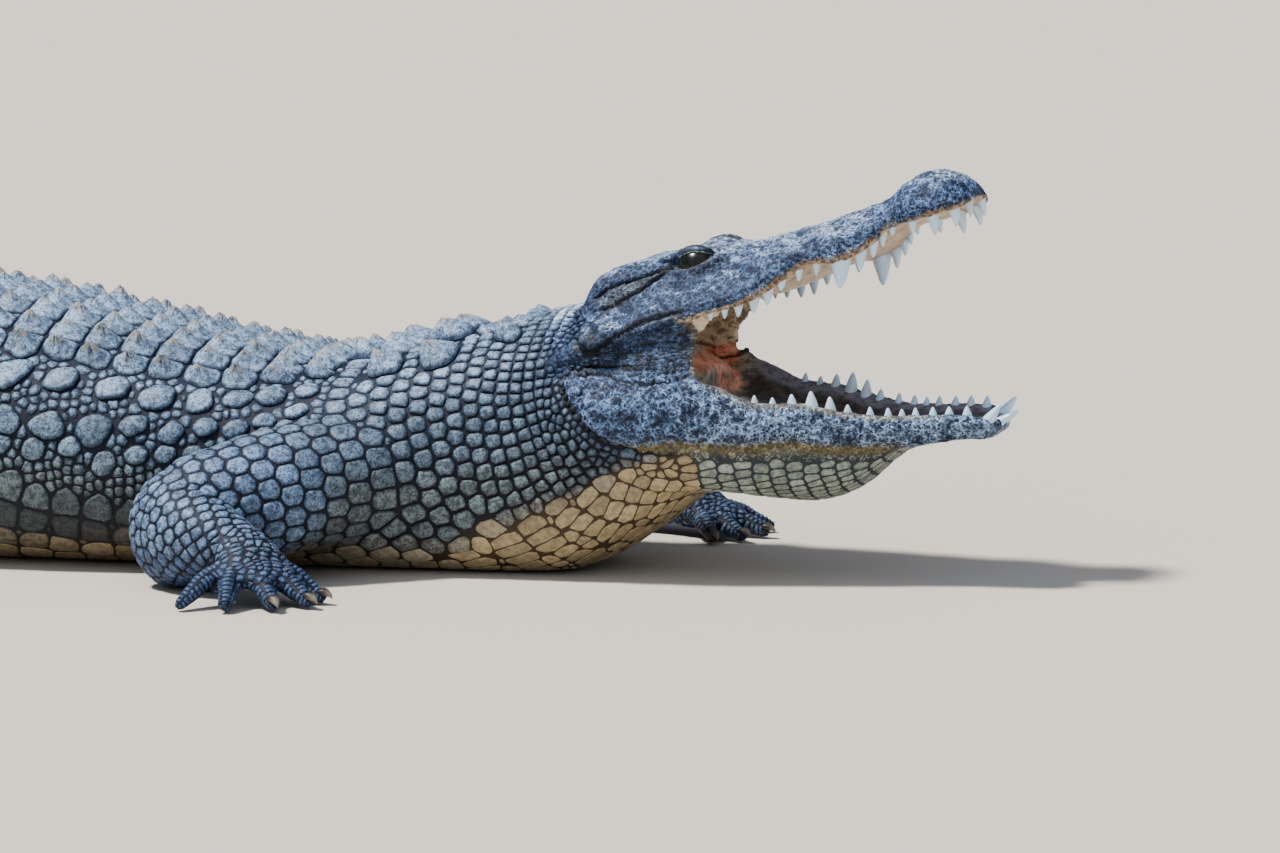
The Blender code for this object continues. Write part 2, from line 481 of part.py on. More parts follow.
def limb(name, joint_names, path, paw):
    """Upper and lower lengths of a limb and its paw with digits and claws."""
    upper = piece(joint_names[0] + name, loft(limb_length(path[0], (False, True))), LIMB)
    grown = loft(limb_length(path[0], (False, True), GAP * 1.5))
    grown = piece(joint_names[0] + name + "_clearance", grown, LIMB, cutters)
    boolean(upper, body_clearance, "DIFFERENCE")
    lower = piece(joint_names[1] + name, loft(limb_length(path[1], (True, True))), LIMB)
    boolean(lower, grown, "DIFFERENCE")
    boolean(lower, body_clearance, "DIFFERENCE")
    grown = loft(limb_length(path[1], (True, True), GAP * 1.5))
    grown = piece(joint_names[1] + name + "_clearance", grown, LIMB, cutters)

    heading, knuckle_height, digits = paw
    wrist = np.array(path[1][-1][:3])
    straight = np.array((math.cos(math.radians(heading)), math.sin(math.radians(heading)), 0.0))
    square = np.array((-straight[1], straight[0], 0.0))
    knuckles = wrist + straight * PALM
    knuckles[2] = knuckle_height
    palm_centres = np.array((wrist, wrist * 0.75 + knuckles * 0.25, wrist * 0.4 + knuckles * 0.6, knuckles))
    palm = loft(tube_rings(palm_centres, np.array((0.030, 0.034, 0.038, 0.032)),
                           np.array((0.022, 0.024, 0.021, 0.014)), LIMB_RING))
    paw_name = joint_names[2] + name
    palm = piece(paw_name, palm, LIMB)
    for k, (spread, length, radius) in enumerate(digits):
        turn = math.radians(heading + spread)
        along = np.array((math.cos(turn), math.sin(turn), 0.0))
        start = knuckles - straight * DIGIT_ROOT + square * math.sin(math.radians(spread)) * KNUCKLE_FAN
        reach = np.array((0.0, 0.5, 1.0))
        bones = start + along * (reach * (length + DIGIT_ROOT))[:, None]
        tip_height = radius * 0.62
        bones[:, 2] = tip_height + (knuckle_height - tip_height) * np.array((1.0, 0.68, 0.0))
        thick = radius * np.array((1.0, 1.0, 0.62))
        finger = tube_rings(bones, thick, thick, DIGIT_RING)
        nail_bed = bones[-1] - along * 0.0025
        finger = piece("%s_digit_%d" % (paw_name, k + 1), cut(loft(finger), nail_bed, along), LIMB, cutters)
        boolean(palm, finger, "UNION")
        if k < CLAWED_DIGITS:
            tip = nail_bed + along * GAP
            claw_bones = tip + along * np.array((-0.002, 0.010, 0.022))[:, None]
            claw_bones[:, 2] = (tip[2], tip[2] * 0.95, tip[2] * 0.35)
            claw_radius = radius * np.array((0.50, 0.36, 0.07))
            claw = tube_rings(claw_bones, claw_radius, claw_radius, DIGIT_RING)
            piece("claw_%d_%s" % (k + 1, paw_name), cut(loft(claw), tip, -along), HORN)
    boolean(palm, grown, "DIFFERENCE")


arm_parts = ("upper_arm_", "forearm_", "hand_")
leg_parts = ("thigh_", "shin_", "foot_")
limb("right", arm_parts, ARM_RIGHT, HAND_RIGHT)
limb("left", arm_parts, ARM_LEFT, HAND_LEFT)
limb("right", leg_parts, LEG_RIGHT, FOOT_RIGHT)
limb("left", leg_parts, LEG_LEFT, FOOT_LEFT)

# -------------------------------------------------- origin at the box's bottom centre
shapes = bpy.context.evaluated_depsgraph_get()
corners = []
for built in parts.objects:
    if built.type == "MESH":
        corners += [vertex.co.copy() for vertex in built.evaluated_get(shapes).data.vertices]
low = [min(corner[k] for corner in corners) for k in range(3)]
high = [max(corner[k] for corner in corners) for k in range(3)]
origin.location = (-(low[0] + high[0]) / 2, -(low[1] + high[1]) / 2, -low[2])
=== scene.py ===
"""A basking Nile crocodile, jaws agape: one skin under a coat of solid scales."""

import bmesh
import bpy
import numpy as np
from mathutils import Matrix, Vector
from mathutils.bvhtree import BVHTree
from mathutils.kdtree import KDTree


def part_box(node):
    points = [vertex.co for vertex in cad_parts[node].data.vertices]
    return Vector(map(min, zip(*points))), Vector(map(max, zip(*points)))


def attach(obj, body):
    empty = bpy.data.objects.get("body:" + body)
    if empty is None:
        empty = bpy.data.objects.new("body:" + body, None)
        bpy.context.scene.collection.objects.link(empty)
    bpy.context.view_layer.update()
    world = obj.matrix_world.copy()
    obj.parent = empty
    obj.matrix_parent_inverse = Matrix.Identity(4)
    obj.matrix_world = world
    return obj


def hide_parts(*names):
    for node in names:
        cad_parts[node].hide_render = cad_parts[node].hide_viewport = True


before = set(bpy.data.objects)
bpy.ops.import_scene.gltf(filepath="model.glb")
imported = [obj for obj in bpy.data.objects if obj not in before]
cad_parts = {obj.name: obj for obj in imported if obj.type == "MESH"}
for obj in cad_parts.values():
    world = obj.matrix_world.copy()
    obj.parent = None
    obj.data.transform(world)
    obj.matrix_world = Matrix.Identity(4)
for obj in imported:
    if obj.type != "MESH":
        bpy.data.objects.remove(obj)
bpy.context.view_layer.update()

# ---------------------------------------------------------------- neck, trunk and tail
# The long body lies on its belly. Sections square to the spine, each a squared-off
# oval pressed flat on the floor, are carried from under the skull to the tail's tip.
JAW_TIP = 0.4395              # ahead of the back of the skull, where X is measured from
EYE_AHEAD = 0.123348          # the eyes' middle, ahead of the same place
(eye_rear, right_edge, _), (eye_front, _, _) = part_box("eye_right")
left_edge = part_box("eye_left")[1][1]
HOME = np.array(((eye_rear + eye_front) / 2 - EYE_AHEAD, (right_edge + left_edge) / 2, 0.0))
SCALE_DEPTH = 0.003           # the skin lies this far inside the outline
TAIL_TIP = 2.56
# distance behind the skull, top of the back, half width, under side
BODY = (
    (-0.14, 0.215, 0.088, 0.104), (-0.06, 0.256, 0.116, 0.040), (0.00, 0.279, 0.129, 0.004),
    (0.08, 0.261, 0.134, -0.010), (0.18, 0.237, 0.146, -0.012), (0.26, 0.216, 0.160, -0.012),
    (0.36, 0.222, 0.178, -0.012), (0.48, 0.242, 0.200, -0.012), (0.62, 0.268, 0.215, -0.012),
    (0.76, 0.280, 0.212, -0.012), (0.90, 0.258, 0.188, -0.012), (1.02, 0.226, 0.155, -0.012),
    (1.15, 0.198, 0.118, -0.010), (1.40, 0.168, 0.086, -0.008), (1.70, 0.138, 0.060, -0.006),
    (2.00, 0.108, 0.041, -0.005), (2.30, 0.074, 0.025, -0.004), (TAIL_TIP, 0.022, 0.008, -0.002))
# heading along the spine, in degrees
TAIL_BEND = ((-0.2, 0.0), (0.95, 0.0), (1.25, 8.0), (1.60, 20.0), (1.95, 16.0), (2.25, -6.0),
             (TAIL_TIP, -26.0))


def curve(stations, at):
    """Cubic through a table's rows, its slope at each the mean slope of its neighbours."""
    table = np.array(stations, float)
    keys, values = table[:, 0], table[:, 1:]
    slope = np.gradient(values, keys, axis=0)
    at = np.atleast_1d(np.asarray(at, float))
    i = np.clip(np.searchsorted(keys, at) - 1, 0, len(keys) - 2)
    step = (keys[i + 1] - keys[i])[..., None]
    a = (at[..., None] - keys[i][..., None]) / step
    return ((2 * a ** 3 - 3 * a ** 2 + 1) * values[i] + (a ** 3 - 2 * a ** 2 + a) * step * slope[i]
            + (3 * a ** 2 - 2 * a ** 3) * values[i + 1] + (a ** 3 - a ** 2) * step * slope[i + 1])


def smooth(value, low, high):
    """0 below low, 1 above high, an S between."""
    a = np.clip((np.asarray(value, float) - low) / (high - low), 0, 1)
    return a * a * (3 - 2 * a)


spine_steps = np.linspace(-0.2, TAIL_TIP, 600)
spine_heading = np.radians(curve(TAIL_BEND, spine_steps)[:, 0])
spine_move = np.diff(spine_steps, prepend=spine_steps[0])
spine_x = 0.2 - np.cumsum(spine_move * np.cos(spine_heading))
spine_y = np.cumsum(spine_move * np.sin(spine_heading))


def body_surface(step, angle, inset=SCALE_DEPTH):
    """Points of the body: across = half width x cos^0.8, up = half height x sin^0.85
    about the widest line, swung to the spine's heading and pressed flat at the floor."""
    step, angle = np.broadcast_arrays(step, angle)
    top, half, under = np.moveaxis(curve(BODY, step), -1, 0)
    top, half = top - inset, half - inset
    floor = np.maximum(under, 0) + inset * (under < 0.01)
    middle = np.maximum(under, 0) + 0.42 * (top - np.maximum(under, 0))
    c, s = np.cos(angle), np.sin(angle)
    across = half * np.sign(c) * np.abs(c) ** 0.80
    rise = np.sign(s) * np.abs(s) ** 0.85
    up = np.maximum(middle + rise * np.where(s > 0, top - middle, middle - under), floor)
    heading = np.interp(step, spine_steps, spine_heading)
    return np.stack((np.interp(step, spine_steps, spine_x) + across * np.sin(heading),
                     np.interp(step, spine_steps, spine_y) + across * np.cos(heading), up), -1)


def closed_tube(points):
    """Faces of a grid of rings (stations x ring x 3), its two ends drawn to a point."""
    rings, ring = points.shape[:2]
    ends = points[[0, -1]].mean(1)
    all_points = np.concatenate((points.reshape(-1, 3), ends))
    row, col = np.meshgrid(np.arange(rings - 1), np.arange(ring), indexing="ij")
    nxt = (col + 1) % ring
    quads = np.stack((row * ring + col, row * ring + nxt, (row + 1) * ring + nxt, (row + 1) * ring + col), -1)
    k, end = np.arange(ring), (rings - 1) * ring
    after = (k + 1) % ring
    first = np.stack((np.full(ring, rings * ring), after, k), -1)
    last = np.stack((np.full(ring, rings * ring + 1), end + k, end + after), -1)
    return all_points, quads.reshape(-1, 4).tolist() + first.tolist() + last.tolist()


def mesh_object(name, points, faces):
    """A piece from points in the crocodile's own measure, moved to its home."""
    mesh = bpy.data.meshes.new(name)
    mesh.from_pydata(np.asarray(points, float) + HOME, [], faces)
    mesh.update()
    made = bpy.data.objects.new(name, mesh)
    bpy.context.scene.collection.objects.link(made)
    return made


def outward(made):
    """Turn a closed mesh's faces to point out."""
    shell = bmesh.new()
    shell.from_mesh(made.data)
    bmesh.ops.recalc_face_normals(shell, faces=shell.faces)
    shell.to_mesh(made.data)
    shell.free()
    return made


def solid(name, rings):
    """A closed piece from a grid of rings, its faces turned out."""
    return outward(mesh_object(name, *closed_tube(rings)))


def joined_tubes(parts):
    """Points and faces of many grids of rings as one mesh."""
    points, faces, count = [], [], 0
    for rings in parts:
        made, sides = closed_tube(rings)
        faces += [[k + count for k in side] for side in sides]
        points.append(made)
        count += len(made)
    return np.concatenate(points), faces


flesh = []
body_steps = np.linspace(-0.13, TAIL_TIP - 0.004, 520)[:, None]
body_angles = np.linspace(0, 2 * np.pi, 120, endpoint=False)[None]
flesh.append(solid("flesh_body", body_surface(body_steps, body_angles)))

# ------------------------------------------------------------------ skull and upper jaw
# One bony piece lifted at 23.5 degrees: flat table, eyes high on it, a long snout that
# waves down over its largest tooth, narrows at a notch and ends in the nostril mound.
SKULL_PITCH = np.radians(23.5)
SKULL_ORIGIN = np.array((0.020, 0.0, 0.243))
# along the snout, crown height, then half width and height of brow, temple, widest
# line, lip and palate edge, then the palate's middle height
SKULL = (
    (-0.060, 0.030, 0.060, 0.024, 0.090, 0.015, 0.108, 0.000, 0.104, -0.013, 0.080, -0.013, -0.013),
    (0.000, 0.048, 0.064, 0.042, 0.090, 0.022, 0.122, 0.004, 0.114, -0.013, 0.090, -0.013, -0.013),
    (0.016, 0.061, 0.066, 0.058, 0.082, 0.030, 0.121, 0.006, 0.114, -0.013, 0.090, -0.013, -0.013),
    (0.060, 0.064, 0.060, 0.063, 0.080, 0.034, 0.117, 0.002, 0.110, -0.013, 0.090, -0.013, -0.013),
    (0.104, 0.056, 0.052, 0.057, 0.078, 0.030, 0.109, 0.000, 0.105, -0.013, 0.086, -0.013, -0.011),
    (0.130, 0.047, 0.049, 0.058, 0.078, 0.026, 0.104, 0.000, 0.100, -0.014, 0.082, -0.011, -0.009),
    (0.145, 0.042, 0.046, 0.051, 0.074, 0.024, 0.100, 0.000, 0.097, -0.0145, 0.079, -0.0115, -0.009),
    (0.160, 0.038, 0.041, 0.043, 0.070, 0.021, 0.096, 0.000, 0.094, -0.017, 0.076, -0.013, -0.011),
    (0.185, 0.034, 0.036, 0.036, 0.064, 0.019, 0.089, -0.001, 0.088, -0.0185, 0.072, -0.019, -0.022),
    (0.207, 0.032, 0.032, 0.033, 0.060, 0.017, 0.084, 0.000, 0.083, -0.017, 0.068, -0.019, -0.023),
    (0.228, 0.030, 0.029, 0.030, 0.057, 0.016, 0.080, 0.002, 0.079, -0.013, 0.064, -0.017, -0.022),
    (0.250, 0.027, 0.027, 0.027, 0.055, 0.015, 0.077, 0.001, 0.075, -0.012, 0.060, -0.016, -0.021),
    (0.280, 0.025, 0.024, 0.025, 0.053, 0.014, 0.077, -0.003, 0.074, -0.022, 0.058, -0.020, -0.023),
    (0.310, 0.023, 0.021, 0.023, 0.043, 0.015, 0.063, -0.001, 0.061, -0.017, 0.048, -0.018, -0.020),
    (0.336, 0.023, 0.020, 0.024, 0.036, 0.016, 0.050, 0.003, 0.048, -0.006, 0.038, -0.009, -0.012),
    (0.366, 0.033, 0.022, 0.033, 0.040, 0.023, 0.054, 0.007, 0.052, -0.010, 0.040, -0.009, -0.009),
    (0.390, 0.031, 0.022, 0.031, 0.040, 0.023, 0.055, 0.006, 0.052, -0.013, 0.038, -0.010, -0.009),
    (0.409, 0.024, 0.018, 0.023, 0.031, 0.018, 0.044, 0.004, 0.042, -0.014, 0.026, -0.011, -0.010),
    (0.419, 0.014, 0.012, 0.013, 0.020, 0.009, 0.029, 0.001, 0.027, -0.012, 0.014, -0.010, -0.010),
    (0.4245, 0.003, 0.004, 0.003, 0.007, 0.003, 0.010, -0.001, 0.009, -0.007, 0.005, -0.007, -0.007))
# place along the snout, length, radius
UPPER_TEETH = ((0.137, 0.008, 0.0032), (0.152, 0.010, 0.0042), (0.166, 0.012, 0.0050),
               (0.183, 0.015, 0.0062), (0.199, 0.016, 0.0060), (0.216, 0.012, 0.0056),
               (0.237, 0.014, 0.0048), (0.256, 0.014, 0.0048), (0.280, 0.028, 0.0098),
               (0.301, 0.020, 0.0064), (0.315, 0.016, 0.0054), (0.326, 0.014, 0.0048),
               (0.337, 0.011, 0.0044), (0.360, 0.015, 0.0048), (0.383, 0.022, 0.0064),
               (0.404, 0.019, 0.0062), (0.416, 0.014, 0.0046))


def snout_roll(along):
    """The snout leans over to the left: how much lower it lies per metre to that side."""
    return 0.10 * smooth(along, 0.16, 0.24)


def skull_point(along, across, up):
    """From the skull's pitched plane to the crocodile's own measure."""
    c, s = np.cos(SKULL_PITCH), np.sin(SKULL_PITCH)
    up = up - across * snout_roll(along)
    return np.stack(np.broadcast_arrays(SKULL_ORIGIN[0] + along * c - up * s, across,
                                        SKULL_ORIGIN[2] + along * s + up * c), -1)


def to_nostril(along, across):
    """Distance from the nearer nostril, an oval opening on top of the snout's mound."""
    return np.hypot(along - 0.386, (np.abs(across) - 0.0125) / 0.8)


def to_skull(points):
    """The reverse: along, across and up in the skull's plane."""
    c, s = np.cos(SKULL_PITCH), np.sin(SKULL_PITCH)
    x, z = points[..., 0] - SKULL_ORIGIN[0], points[..., 2] - SKULL_ORIGIN[2]
    along, across = x * c + z * s, points[..., 1]
    return along, across, z * c - x * s + across * snout_roll(along)


def half_section(table, place, turn):
    """A half section read at turn, 0 at the top middle to 1 at the bottom middle."""
    place, turn = np.broadcast_arrays(place, turn)
    rows = curve(table, place)
    first, pairs, last = rows[..., :1], rows[..., 1:-1], rows[..., -1:]
    zero = np.zeros_like(first)
    wide = np.concatenate((zero, pairs[..., 0::2], zero), -1)
    high = np.concatenate((first, pairs[..., 1::2], last), -1)
    count = wide.shape[-1] - 1
    a = turn * count
    i = np.clip(a.astype(int), 0, count - 1)
    a = a - i
    before, after = np.abs(i - 1), i + 2
    over = after > count
    after = np.where(over, 2 * count - after, after)

    def blend(values, flip):
        """Catmull-Rom through the neighbours, mirrored in the middle plane."""
        pick = [np.take_along_axis(values, k[..., None], -1)[..., 0] for k in (before, i, i + 1, after)]
        pick[0] = np.where(i == 0, flip * pick[0], pick[0])
        pick[3] = np.where(over, flip * pick[3], pick[3])
        p, q, r, t = pick
        return q + 0.5 * a * (r - p + a * (2 * p - 5 * q + 4 * r - t + a * (3 * (q - r) + t - p)))

    return blend(wide, -1.0), blend(high, 1.0)


def whole_section(table, along, turn):
    """Along, across and height: turn 0 to 1 runs down the right side, 1 to 2 up the left."""
    along, turn = np.broadcast_arrays(along, turn)
    wide, high = half_section(table, along, np.where(turn > 1, 2 - turn, turn))
    return along, np.where(turn > 1, 1.0, -1.0) * wide, high


def skull_surface(along, turn):
    """The skull's skin, from the middle of its top down the right side and up the left."""
    return skull_point(*whole_section(SKULL, along, turn))


skull_steps = np.linspace(-0.05, 0.4244, 230)[:, None]
section_turns = np.linspace(0, 2, 120, endpoint=False)[None]
flesh.append(solid("flesh_skull", skull_surface(skull_steps, section_turns)))

# ------------------------------------------------------------- lower jaw, throat, cheeks
# The lower jaw lies level. Under it hangs the loose throat pouch, above its back end the
# cheeks close the gape round the mouth's pocket.
# along X: tongue height, then half width and height of floor, inner rim, rim, widest
# line, jaw base and throat side, then the throat's middle height
JAW = (
    (-0.08, 0.19, 0.04, 0.19, 0.07, 0.195, 0.085, 0.195, 0.1, 0.15, 0.09, 0.09, 0.06, 0.03, 0.01),
    (-0.035, 0.206, 0.048, 0.206, 0.084, 0.217, 0.102, 0.22, 0.121, 0.168, 0.112, 0.1, 0.078, 0.038, 0.008),
    (0.000, 0.214, 0.050, 0.212, 0.090, 0.225, 0.116, 0.228, 0.137, 0.176, 0.126, 0.110, 0.085, 0.045, 0.012),
    (0.060, 0.205, 0.050, 0.200, 0.090, 0.214, 0.118, 0.222, 0.138, 0.182, 0.124, 0.135, 0.086, 0.072, 0.048),
    (0.110, 0.196, 0.050, 0.190, 0.088, 0.206, 0.114, 0.216, 0.130, 0.180, 0.116, 0.137, 0.084, 0.096, 0.088),
    (0.150, 0.188, 0.046, 0.182, 0.082, 0.204, 0.106, 0.210, 0.118, 0.175, 0.104, 0.136, 0.076, 0.100, 0.090),
    (0.197, 0.180, 0.040, 0.173, 0.078, 0.189, 0.096, 0.193, 0.104, 0.170, 0.092, 0.137, 0.066, 0.098, 0.085),
    (0.245, 0.174, 0.034, 0.168, 0.066, 0.186, 0.082, 0.192, 0.089, 0.168, 0.078, 0.140, 0.054, 0.102, 0.083),
    (0.290, 0.171, 0.028, 0.167, 0.050, 0.178, 0.065, 0.183, 0.072, 0.166, 0.062, 0.144, 0.042, 0.114, 0.100),
    (0.335, 0.170, 0.022, 0.169, 0.040, 0.178, 0.053, 0.180, 0.059, 0.167, 0.048, 0.149, 0.032, 0.143, 0.138),
    (0.375, 0.173, 0.018, 0.173, 0.036, 0.180, 0.048, 0.182, 0.053, 0.170, 0.043, 0.155, 0.026, 0.151, 0.150),
    (0.408, 0.175, 0.014, 0.175, 0.032, 0.181, 0.044, 0.183, 0.048, 0.173, 0.038, 0.160, 0.022, 0.156, 0.155),
    (0.430, 0.175, 0.008, 0.175, 0.020, 0.178, 0.031, 0.179, 0.034, 0.172, 0.028, 0.161, 0.014, 0.158, 0.157),
    (JAW_TIP, 0.174, 0.002, 0.174, 0.005, 0.175, 0.008, 0.175, 0.009, 0.171, 0.007, 0.167, 0.004, 0.166,
     0.166))
LOWER_TEETH = ((0.197, 0.009, 0.0040), (0.215, 0.008, 0.0040), (0.234, 0.011, 0.0050),
               (0.253, 0.016, 0.0062), (0.271, 0.014, 0.0056), (0.288, 0.009, 0.0045),
               (0.310, 0.009, 0.0042), (0.328, 0.009, 0.0042), (0.342, 0.008, 0.0040),
               (0.356, 0.009, 0.0042), (0.374, 0.009, 0.0045), (0.391, 0.009, 0.0048),
               (0.409, 0.010, 0.0050), (0.428, 0.021, 0.0060), (0.4355, 0.014, 0.0050))
MOUTH_CORNER = 0.143
SEAM = -0.0145


def jaw_surface(along, turn):
    """The lower jaw's skin, from the tongue down the right side to the throat and up."""
    along, across, high = whole_section(JAW, along, turn)
    ceiling = SKULL_ORIGIN[2] + (SEAM + (along - SKULL_ORIGIN[0]) * np.sin(SKULL_PITCH)) / np.cos(SKULL_PITCH)
    return np.stack((along, across, np.minimum(high, ceiling)), -1)


jaw_steps = np.linspace(-0.06, JAW_TIP - 0.0003, 230)[:, None]
flesh.append(solid("flesh_jaw", jaw_surface(jaw_steps, section_turns)))


# the free front edge of the cheek: height, X; and of the soft lining inside it
CHEEK_EDGE = ((0.185, 0.150), (0.212, 0.141), (0.224, 0.136), (0.238, 0.134), (0.253, 0.137), (0.268, 0.131),
              (0.280, 0.119), (0.292, 0.104), (0.320, 0.085))
LINING_EDGE = ((0.200, 0.100), (0.232, 0.112), (0.250, 0.128), (0.265, 0.140), (0.280, 0.152),
               (0.292, 0.166), (0.320, 0.185))


def cheek_rings(side):
    """Rings of the cheek along X: an upright lens sunk in above and below; the left one
    is drawn 20 mm further back as the head leans away from it."""
    x = np.linspace(-0.03, MOUTH_CORNER, 60)[:, None]
    around = np.linspace(0, 2 * np.pi, 48, endpoint=False)[None]
    outer = curve(JAW, x[:, 0])[:, 7][:, None]
    low = 0.185 + 0 * x
    high = SKULL_ORIGIN[2] + (x - SKULL_ORIGIN[0]) * np.tan(SKULL_PITCH)
    middle, half = (low + high) / 2, (high - low) / 2
    taper = np.sqrt(np.clip((MOUTH_CORNER + 0.001 - x) / 0.012, 0.02, 1))
    thick = (0.006 + 0.055 * smooth(-x, -0.115, -0.03)) * taper
    rise = np.sin(around)
    lean = outer - 0.008 - thick - 0.012 * (rise * 0.5 + 0.5) - 0.006 * np.cos(rise * 1.5)
    y = lean + thick * np.cos(around)
    z = middle + half * rise
    edge = curve(CHEEK_EDGE, z.ravel())[:, 0].reshape(z.shape)
    edge = edge - 0.020 * (side > 0) * smooth(z, 0.205, 0.225) * smooth(0.285 - z, 0.0, 0.02)
    return np.stack((-0.03 + (x + 0.03) * (edge + 0.03) / (MOUTH_CORNER + 0.03), side * y, z), -1)


def lining_rings(side):
    """Rings of the mouth's soft lining, a thinner web inside the cheek that runs on to
    the palate."""
    x = np.linspace(0.0, MOUTH_CORNER, 50)[:, None]
    around = np.linspace(0, 2 * np.pi, 48, endpoint=False)[None]
    low, high = 0.205, SKULL_ORIGIN[2] - 0.006 + x / MOUTH_CORNER * 0.062
    middle, half = (low + high) / 2, (high - low) / 2
    taper = np.sqrt(np.clip((MOUTH_CORNER + 0.001 - x) / 0.016, 0.03, 1))
    z = middle + half * np.sin(around)
    y = 0.090 - 0.012 * np.sin(around) + 0.0055 * taper * np.cos(around)
    edge = curve(LINING_EDGE, z.ravel())[:, 0].reshape(z.shape)
    return np.stack((x * edge / MOUTH_CORNER, side * y, z), -1)


def soft_lump(middle, size):
    """A rounded lump: rings of an ellipsoid along X."""
    down = np.linspace(0.05, np.pi - 0.05, 18)[:, None]
    turn = np.linspace(0, 2 * np.pi, 24, endpoint=False)[None]
    return middle + size * np.stack((-np.cos(down) + 0 * turn, np.sin(down) * np.cos(turn),
                                     np.sin(down) * np.sin(turn)), -1)


for side, label in ((-1.0, "right"), (1.0, "left")):
    flesh.append(solid("flesh_cheek_" + label, cheek_rings(side)))
    flesh.append(solid("flesh_lining_" + label, lining_rings(side)))
tongue_fold = soft_lump(np.array((0.140, -0.064, 0.189)), np.array((0.014, 0.014, 0.016)))
flesh.append(solid("flesh_tongue_fold", tongue_fold))
root_x = np.linspace(-0.06, 0.072, 30)[:, None]
root_turn = np.linspace(0, 2 * np.pi, 48, endpoint=False)[None]
root_size = np.sqrt(np.clip((0.0725 - root_x) / 0.03, 0.001, 1))
root_rings = np.stack((root_x + 0 * root_turn, 0.108 * root_size * np.cos(root_turn),
                       0.232 + 0.3 * (root_x - 0.02) + 0.045 * root_size * np.sin(root_turn)), -1)
flesh.append(solid("flesh_mouth_root", root_rings))

# --------------------------------------------------------------------- legs and paws
# Each leg is two fleshy lengths and a paw of soft digits. The right hand is arched under
# its wrist beside the chest, the left reaches forward under the throat.
ARM_RIGHT = (
    ((-0.205, -0.105, 0.105, 0.066, 0.070), (-0.285, -0.185, 0.094, 0.062, 0.068),
     (-0.350, -0.246, 0.078, 0.054, 0.062)),
    ((-0.372, -0.264, 0.061, 0.052, 0.064), (-0.344, -0.288, 0.060, 0.048, 0.054),
     (-0.312, -0.303, 0.056, 0.040, 0.040), (-0.284, -0.312, 0.050, 0.034, 0.028)))
ARM_LEFT = (
    ((-0.205, 0.105, 0.105, 0.066, 0.070), (-0.175, 0.195, 0.090, 0.060, 0.066),
     (-0.140, 0.262, 0.066, 0.052, 0.056)),
    ((-0.125, 0.280, 0.058, 0.050, 0.060), (-0.075, 0.272, 0.048, 0.044, 0.046),
     (-0.025, 0.258, 0.038, 0.038, 0.034), (0.012, 0.246, 0.034, 0.035, 0.026)))
LEG_RIGHT = (
    ((-1.010, -0.060, 0.118, 0.088, 0.082), (-0.930, -0.175, 0.112, 0.080, 0.078),
     (-0.868, -0.270, 0.088, 0.062, 0.066)),
    ((-0.868, -0.312, 0.076, 0.060, 0.066), (-0.925, -0.346, 0.062, 0.052, 0.054),
     (-0.985, -0.362, 0.046, 0.043, 0.042), (-1.020, -0.374, 0.036, 0.040, 0.031)))
LEG_LEFT = (
    ((-1.010, 0.080, 0.118, 0.088, 0.082), (-0.945, 0.190, 0.112, 0.080, 0.078),
     (-0.895, 0.282, 0.088, 0.062, 0.066)),
    ((-0.905, 0.322, 0.076, 0.060, 0.066), (-0.970, 0.352, 0.062, 0.052, 0.054),
     (-1.036, 0.370, 0.046, 0.043, 0.042), (-1.072, 0.384, 0.036, 0.040, 0.031)))
# heading of the paw, height of its knuckles, then each digit's spread, length, radius
HAND_RIGHT = (-44.0, 0.034, ((38.0, 0.042, 0.0125), (19.0, 0.052, 0.0130), (-4.0, 0.050, 0.0135),
                             (-34.0, 0.044, 0.0125), (-74.0, 0.042, 0.0110)))
HAND_LEFT = (-10.0, 0.026, ((-42.0, 0.042, 0.0115), (-20.0, 0.052, 0.0120), (2.0, 0.056, 0.0120),
                            (26.0, 0.050, 0.0110), (54.0, 0.042, 0.0100)))
FOOT_RIGHT = (-35.0, 0.020, ((24.0, 0.085, 0.0135), (4.0, 0.112, 0.0140), (-16.0, 0.118, 0.0140),
                             (-40.0, 0.098, 0.0110)))
FOOT_LEFT = (35.0, 0.020, ((-24.0, 0.085, 0.0135), (-4.0, 0.112, 0.0140), (16.0, 0.118, 0.0140),
                           (40.0, 0.098, 0.0110)))
LIMBS = (("hand_right", ARM_RIGHT, HAND_RIGHT), ("hand_left", ARM_LEFT, HAND_LEFT),
         ("foot_right", LEG_RIGHT, FOOT_RIGHT), ("foot_left", LEG_LEFT, FOOT_LEFT))
PALM = 0.042                  # from wrist to knuckles
# share of the palm's length, half width and half height there
PALM_SECTIONS = ((0.0, 0.032, 0.024), (0.3, 0.035, 0.026), (0.7, 0.039, 0.022), (1.0, 0.034, 0.015))
DIGIT_ROOT = 0.014            # each digit starts this far behind the knuckles
PALM_DEPTH, DIGIT_DEPTH = 0.0015, 0.0010     # the skin's depth where the scales are thin
CLAWED_DIGITS = 3
UP = np.array((0.0, 0.0, 1.0))


